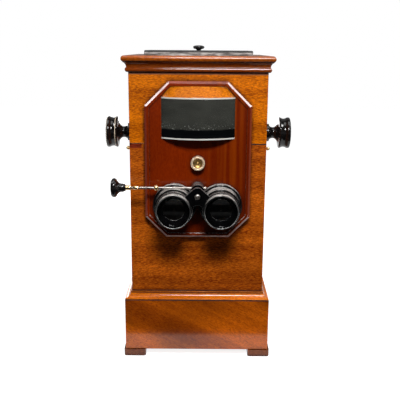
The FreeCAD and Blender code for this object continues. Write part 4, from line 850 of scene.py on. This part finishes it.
def bell_profile(rim, long):
    """Steps of a bell: a swelling neck, a flare, and a rounded rim round a shallow domed face."""
    neck, neck_end, flare_end, crest = rim * 0.45, long * 0.33, long * 0.6, long * 0.78
    first, last = math.radians(-60), math.radians(80)
    profile = []
    for row in range(CAP_ROWS):
        profile.append((neck - rim * 0.14 * (1 - row / CAP_ROWS) ** 3, neck_end * row / CAP_ROWS))
    for row in range(CAP_ROWS):
        part = row / CAP_ROWS
        profile.append((neck + rim * 0.35 * part ** 1.7, neck_end + (flare_end - neck_end) * part))
    for row in range(CAP_ROWS + 1):
        turn = first + (last - first) * row / CAP_ROWS
        profile.append((rim * (0.72 + 0.28 * math.cos(turn)), crest + long * 0.2 * math.sin(turn)))
    return profile + [(0.0, long)]


def wheel_profile(rim, long):
    """Steps of a grooved wheel: a collar, a waist swept out behind the wheel, a hollow between two rims."""
    collar, waist, back = rim * 0.57, rim * 0.355, rim * 0.9
    collar_end, waist_at, back_at = long * 0.32, long * 0.46, long * 0.63
    lip_part, hollow_from, hollow_part, hollow_depth = 0.1, 0.14, 0.62, rim * 0.08
    profile = [(collar, 0.0)]
    for row in range(2 * CAP_ROWS + 1):
        turn = math.pi / 2 * (row / CAP_ROWS - 1)
        reach = waist_at - collar_end if turn < 0 else back_at - waist_at
        swell = collar - waist if turn < 0 else back - waist
        profile.append((waist + swell * (1 - math.cos(turn)), waist_at + reach * math.sin(turn)))
    for row in range(1, 2 * CAP_ROWS + 1):
        part = row / (2 * CAP_ROWS)
        lip = math.sqrt(1 - max(0.0, 1 - min(part, 1 - part) / lip_part) ** 2)
        hollow = math.sin(math.pi * min(max((part - hollow_from) / hollow_part, 0.0), 1.0))
        out = back + (rim - back) * lip - hollow_depth * hollow
        profile.append((out, back_at + (long - back_at) * part))
    return profile + [(0.0, long)]


def add_knob(node, shape, outward, body, material):
    """A turned knob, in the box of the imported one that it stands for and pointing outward."""
    low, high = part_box(node)
    size = high - low
    way = Vector(outward)
    long = abs(size.dot(way))
    rim = (size.x if way.z else size.z) / 2
    name = node + "_turned"
    mesh = new_mesh(name, turn_profile(shape(rim, long)))
    mesh.transform(seated(centre(node) - way * long / 2, way))
    mesh.shade_smooth()
    mesh.set_sharp_from_angle(angle=math.radians(40))
    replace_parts(add_piece(name, mesh, material, body), node)


def add_knobs():
    add_knob("flap_knob", mushroom_profile, (0, 0, 1), "flap", ebony)
    add_knob("focus_knob", bell_profile, (-1, 0, 0), "focus", ebony)
    add_knob("knob_left", wheel_profile, (-1, 0, 0), "transport", worn_ebony)
    add_knob("knob_right", wheel_profile, (1, 0, 0), "transport", ebony)


def card_islands(source):
    """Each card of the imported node, in the same order each run: its corners and its broad face's normal."""
    made = bmesh.new()
    made.from_mesh(source)
    bmesh.ops.remove_doubles(made, verts=made.verts[:], dist=1e-6)
    left = dict.fromkeys(made.verts)
    islands = []
    while left:
        reached = [left.popitem()[0]]
        for vert in reached:
            for edge in vert.link_edges:
                other = edge.other_vert(vert)
                if other in left:
                    del left[other]
                    reached.append(other)
        faces = [face for vert in reached for face in vert.link_faces]
        broad = max(faces, key=lambda face: face.calc_area())
        islands.append(([vert.co.copy() for vert in reached], broad.normal.copy()))
    made.free()
    return islands


def add_cards():
    """Printed cards in place of the plain ones, each with its own pair of views."""
    axle, idler = centre("axle"), centre("idler_roller")
    made = bmesh.new()
    sheet = made.loops.layers.uv.new("card")
    for number, (corners, out) in enumerate(card_islands(nodes["stereo_cards"].data)):
        middle = sum(corners, Vector()) / len(corners)
        nearest = Vector((0, axle.y, min(max(middle.z, idler.z), axle.z)))
        if out.dot(middle - nearest) < 0:
            out.negate()
        up = out.cross(Vector((1, 0, 0)))
        arms = [corner - middle for corner in corners]
        half_width = max(arm.x for arm in arms)
        reach = max(arm.dot(up) for arm in arms)
        thick = max(arm.dot(out) for arm in arms)
        add_card(made, sheet, middle, half_width, up * reach, out * thick, number)
    cards = add_piece("printed_cards", new_mesh("printed_cards", made), card_print, "case")
    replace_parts(cards, "stereo_cards")


def add_card(made, sheet, middle, half_width, up, out, number):
    """One card as a thin slab with clipped corners, its front laid out from 0 to 1 past its number."""
    margin = 0.001
    width = Vector((half_width, 0, 0))
    outline = []
    for across, rise in ((1, 1), (-1, 1), (-1, -1), (1, -1)):
        on_rise = width * across * (1 - CARD_CLIP / half_width) + up * rise
        on_side = width * across + up * rise * (1 - CARD_CLIP / up.length)
        outline += [on_side, on_rise] if across * rise > 0 else [on_rise, on_side]
    front = [made.verts.new(middle + point + out) for point in outline]
    back = [made.verts.new(middle + point - out) for point in outline]
    faces = [made.faces.new(front), made.faces.new(list(reversed(back)))]
    for step in range(len(front)):
        following = (step + 1) % len(front)
        faces.append(made.faces.new((front[step], back[step], back[following], front[following])))
    for face in faces:
        for loop in face.loops:
            arm = loop.vert.co - middle
            along = 0.5 + arm.x / (2 * half_width * (1 + margin))
            rise = 0.5 + arm.dot(up) / (2 * up.length_squared)
            loop[sheet].uv = (number + along, rise) if face is faces[0] else (number + margin, 0.5)


def belt_point(travel, upper, lower, radius):
    """The place and the outward way at a travel along a belt, from the front of its upper roller."""
    half_turn = math.pi * radius
    drop = upper.z - lower.z
    middle = Vector((0, upper.y, upper.z))
    if travel < half_turn:
        angle = travel / radius
    elif travel < half_turn + drop:
        angle = math.pi
        middle.z -= travel - half_turn
    elif travel < 2 * half_turn + drop:
        angle = (travel - drop) / radius
        middle.z = lower.z
    else:
        angle = 0
        middle.z = lower.z + travel - 2 * half_turn - drop
    out = Vector((0, -math.cos(angle), math.sin(angle)))
    return middle + out * radius, out


def tape_section():
    """Points round a tape as parts of its half width and half thickness: thicker along both edges."""
    web, dip, selvedge, edge = (0.4, 0.85), (0.86, 0.75), (0.94, 1.0), (1.0, 0.6)
    right = [web, dip, selvedge, edge]
    upper = [(-step, fat) for step, fat in reversed(right)] + right
    return upper + [(step, -fat) for step, fat in reversed(upper)]


def tape_mesh(name, at, upper, lower, radius, around):
    """An endless tape round two rollers, with its weave laid out in millimetres."""
    half, thick = TAPE_WIDTH / 2, TAPE_THICKNESS / 2
    section = tape_section()
    made = bmesh.new()
    layout = made.loops.layers.uv.new("weave")
    rows = []
    for station in range(TAPE_STATIONS):
        place, out = belt_point(around * station / TAPE_STATIONS, upper, lower, radius)
        rows.append([made.verts.new(place + out * thick * fat + Vector((at + half * step, 0, 0)))
                     for step, fat in section])
    for station, row in enumerate(rows):
        following = rows[(station + 1) % TAPE_STATIONS]
        for edge in range(len(section)):
            beyond = (edge + 1) % len(section)
            face = made.faces.new((row[edge], row[beyond], following[beyond], following[edge]))
            face.smooth = True
            for loop, (column, late) in zip(face.loops, ((edge, 0), (beyond, 0), (beyond, 1), (edge, 1))):
                along = around * (station + late) / TAPE_STATIONS
                loop[layout].uv = (section[column][0] * half * 1000, along * 1000)
    bmesh.ops.recalc_face_normals(made, faces=made.faces[:])
    return new_mesh(name, made)


def add_tapes():
    """Two woven tapes round the rollers in place of the plain ones."""
    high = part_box("tapes")[1]
    upper, lower = centre("axle"), centre("idler_roller")
    radius = high.z - upper.z - TAPE_THICKNESS / 2
    around = 2 * (math.pi * radius + upper.z - lower.z)
    for name, side in (("tape_left", -1), ("tape_right", 1)):
        mesh = tape_mesh(name, side * (high.x - TAPE_WIDTH / 2), upper, lower, radius, around)
        tape = add_piece(name, mesh, tape_cloth, "case")
        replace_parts(tape, "tapes")


# Stage

def add_camera():
    """The photo's camera: focal length and picture width in pixels, angles in degrees."""
    focal, picture, sensor = 633, 400, 36
    pitch, roll = 13.5, 0.415
    lens = bpy.data.cameras.new("photo_camera")
    lens.sensor_width = sensor
    lens.lens = focal / picture * sensor
    lens.clip_start = 0.01
    camera = bpy.data.objects.new("photo_camera", lens)
    camera.location = (0.0035, -0.9785, 0.4583)
    tilt = Matrix.Rotation(math.radians(90 - pitch), 4, "X") @ Matrix.Rotation(math.radians(roll), 4, "Z")
    camera.rotation_euler = tilt.to_euler()
    bpy.context.scene.collection.objects.link(camera)
    bpy.context.scene.camera = camera


def seen(tree):
    """Which rays look at the stage straight from the camera, and which in a reflection or through glass."""
    path = put(tree, "ShaderNodeLightPath").outputs
    mirrored = maths(tree, "MAXIMUM", path["Is Glossy Ray"], path["Is Transmission Ray"])
    return path["Is Camera Ray"], mirrored


def add_world():
    """White backdrop for the eye; in reflections a dark room with a lit band along its front wall."""
    ambient = 0.04
    world = bpy.data.worlds.new("studio")
    bpy.context.scene.world = world
    world.use_nodes = True
    tree = world.node_tree
    tree.nodes.clear()
    straight, mirrored = seen(tree)
    way = axes(tree, put(tree, "ShaderNodeTexCoord").outputs["Generated"])
    backdrop = span(tree, way["Y"], 0.3, 0.6, 0.03, 0.25)
    level = times(tree, span(tree, way["Z"], -0.09, -0.04), span(tree, way["Z"], 0.22, 0.12, 0.0, 0.16))
    wall = times(tree, level, span(tree, way["Y"], 0.0, -0.2))
    room = maths(tree, "MAXIMUM", backdrop, wall)
    indirect = raised(tree, ambient, mirrored, maths(tree, "SUBTRACT", room, ambient))
    strength = maths(tree, "MAXIMUM", straight, indirect)
    sky = put(tree, "ShaderNodeBackground", {"Color": colour(1, 1, 1), "Strength": strength})
    put(tree, "ShaderNodeOutputWorld", {"Surface": sky.outputs[0]})


def floor_paint():
    """White with the shadow kept where it is looked at, and bright only near the case in reflections."""
    material, tree, shader = new_finish("pale_floor")
    tree.nodes.remove(shader)
    straight, mirrored = seen(tree)
    place = object_place(tree)
    spot = axes(tree, place)
    near = span(tree, spot["Y"], -0.17, -0.156, 0.01, 1.0)
    dimmed = span(tree, maths(tree, "ABSOLUTE", spot["X"]), 0.45, 1.1, 1.0, 0.25)
    image = put(tree, "ShaderNodeEmission", {"Strength": times(tree, near, dimmed)})
    brightness = span(tree, length(tree, place), 0.25, 0.7, 0.86, 1.0)
    glow = put(tree, "ShaderNodeEmission", {"Strength": brightness})
    paint = put(tree, "ShaderNodeBsdfDiffuse", {"Color": colour(0.5, 0.5, 0.5)})
    lit = put(tree, "ShaderNodeAddShader", {0: paint.outputs[0], 1: glow.outputs[0]})
    bounce = put(tree, "ShaderNodeBsdfDiffuse", {"Color": times(tree, near, 0.8)})
    looked_at = put(tree, "ShaderNodeMixShader", {0: straight, 1: bounce.outputs[0], 2: lit.outputs[0]})
    shown = put(tree, "ShaderNodeMixShader", {0: mirrored, 1: looked_at.outputs[0], 2: image.outputs[0]})
    feed(tree.nodes["Material Output"], Surface=shown.outputs[0])
    return material


def add_floor():
    half_width, front, back = 4, -2.85, 4
    made = bmesh.new()
    corners = [(-half_width, front), (half_width, front), (half_width, back), (-half_width, back)]
    made.faces.new([made.verts.new((x, y, 0)) for x, y in corners])
    mesh = new_mesh("floor", made)
    mesh.materials.append(floor_paint())
    floor = bpy.data.objects.new("floor", mesh)
    bpy.context.scene.collection.objects.link(floor)


def add_softbox(name, at, aim, size, power):
    light = bpy.data.lights.new(name, "AREA")
    light.shape = "RECTANGLE"
    light.size, light.size_y = size
    light.energy = power
    lamp = bpy.data.objects.new(name, light)
    lamp.location = at
    lamp.rotation_euler = (Vector(aim) - Vector(at)).to_track_quat("-Z", "Y").to_euler()
    bpy.context.scene.collection.objects.link(lamp)


def add_lights():
    add_softbox("key", at=(0.06, -0.75, 0.93), aim=(0, -0.08, 0.3), size=(0.3, 0.18), power=9.6)
    add_softbox("overhead", at=(0, -0.1, 1.4), aim=(0, 0, 0.3), size=(1.0, 0.6), power=4.5)
    for across in (-0.84, 0.84):
        add_softbox("glint", at=(across, -0.09, 1.02), aim=(0, -0.09, 0.39), size=(0.25, 0.25), power=3.5)
    add_softbox("rear", at=(-0.3, 1.2, 0.28), aim=(0, 0.1, 0.25), size=(0.8, 0.3), power=4.5)
    add_softbox("strip", at=(1.1, 0.0, 0.5), aim=(0, 0, 0.33), size=(0.3, 0.3), power=1.0)


dress_nodes()
add_screws()
add_knobs()
add_cards()
add_tapes()
add_camera()
add_world()
add_floor()
add_lights()
bpy.context.scene.view_settings.view_transform = "Standard"
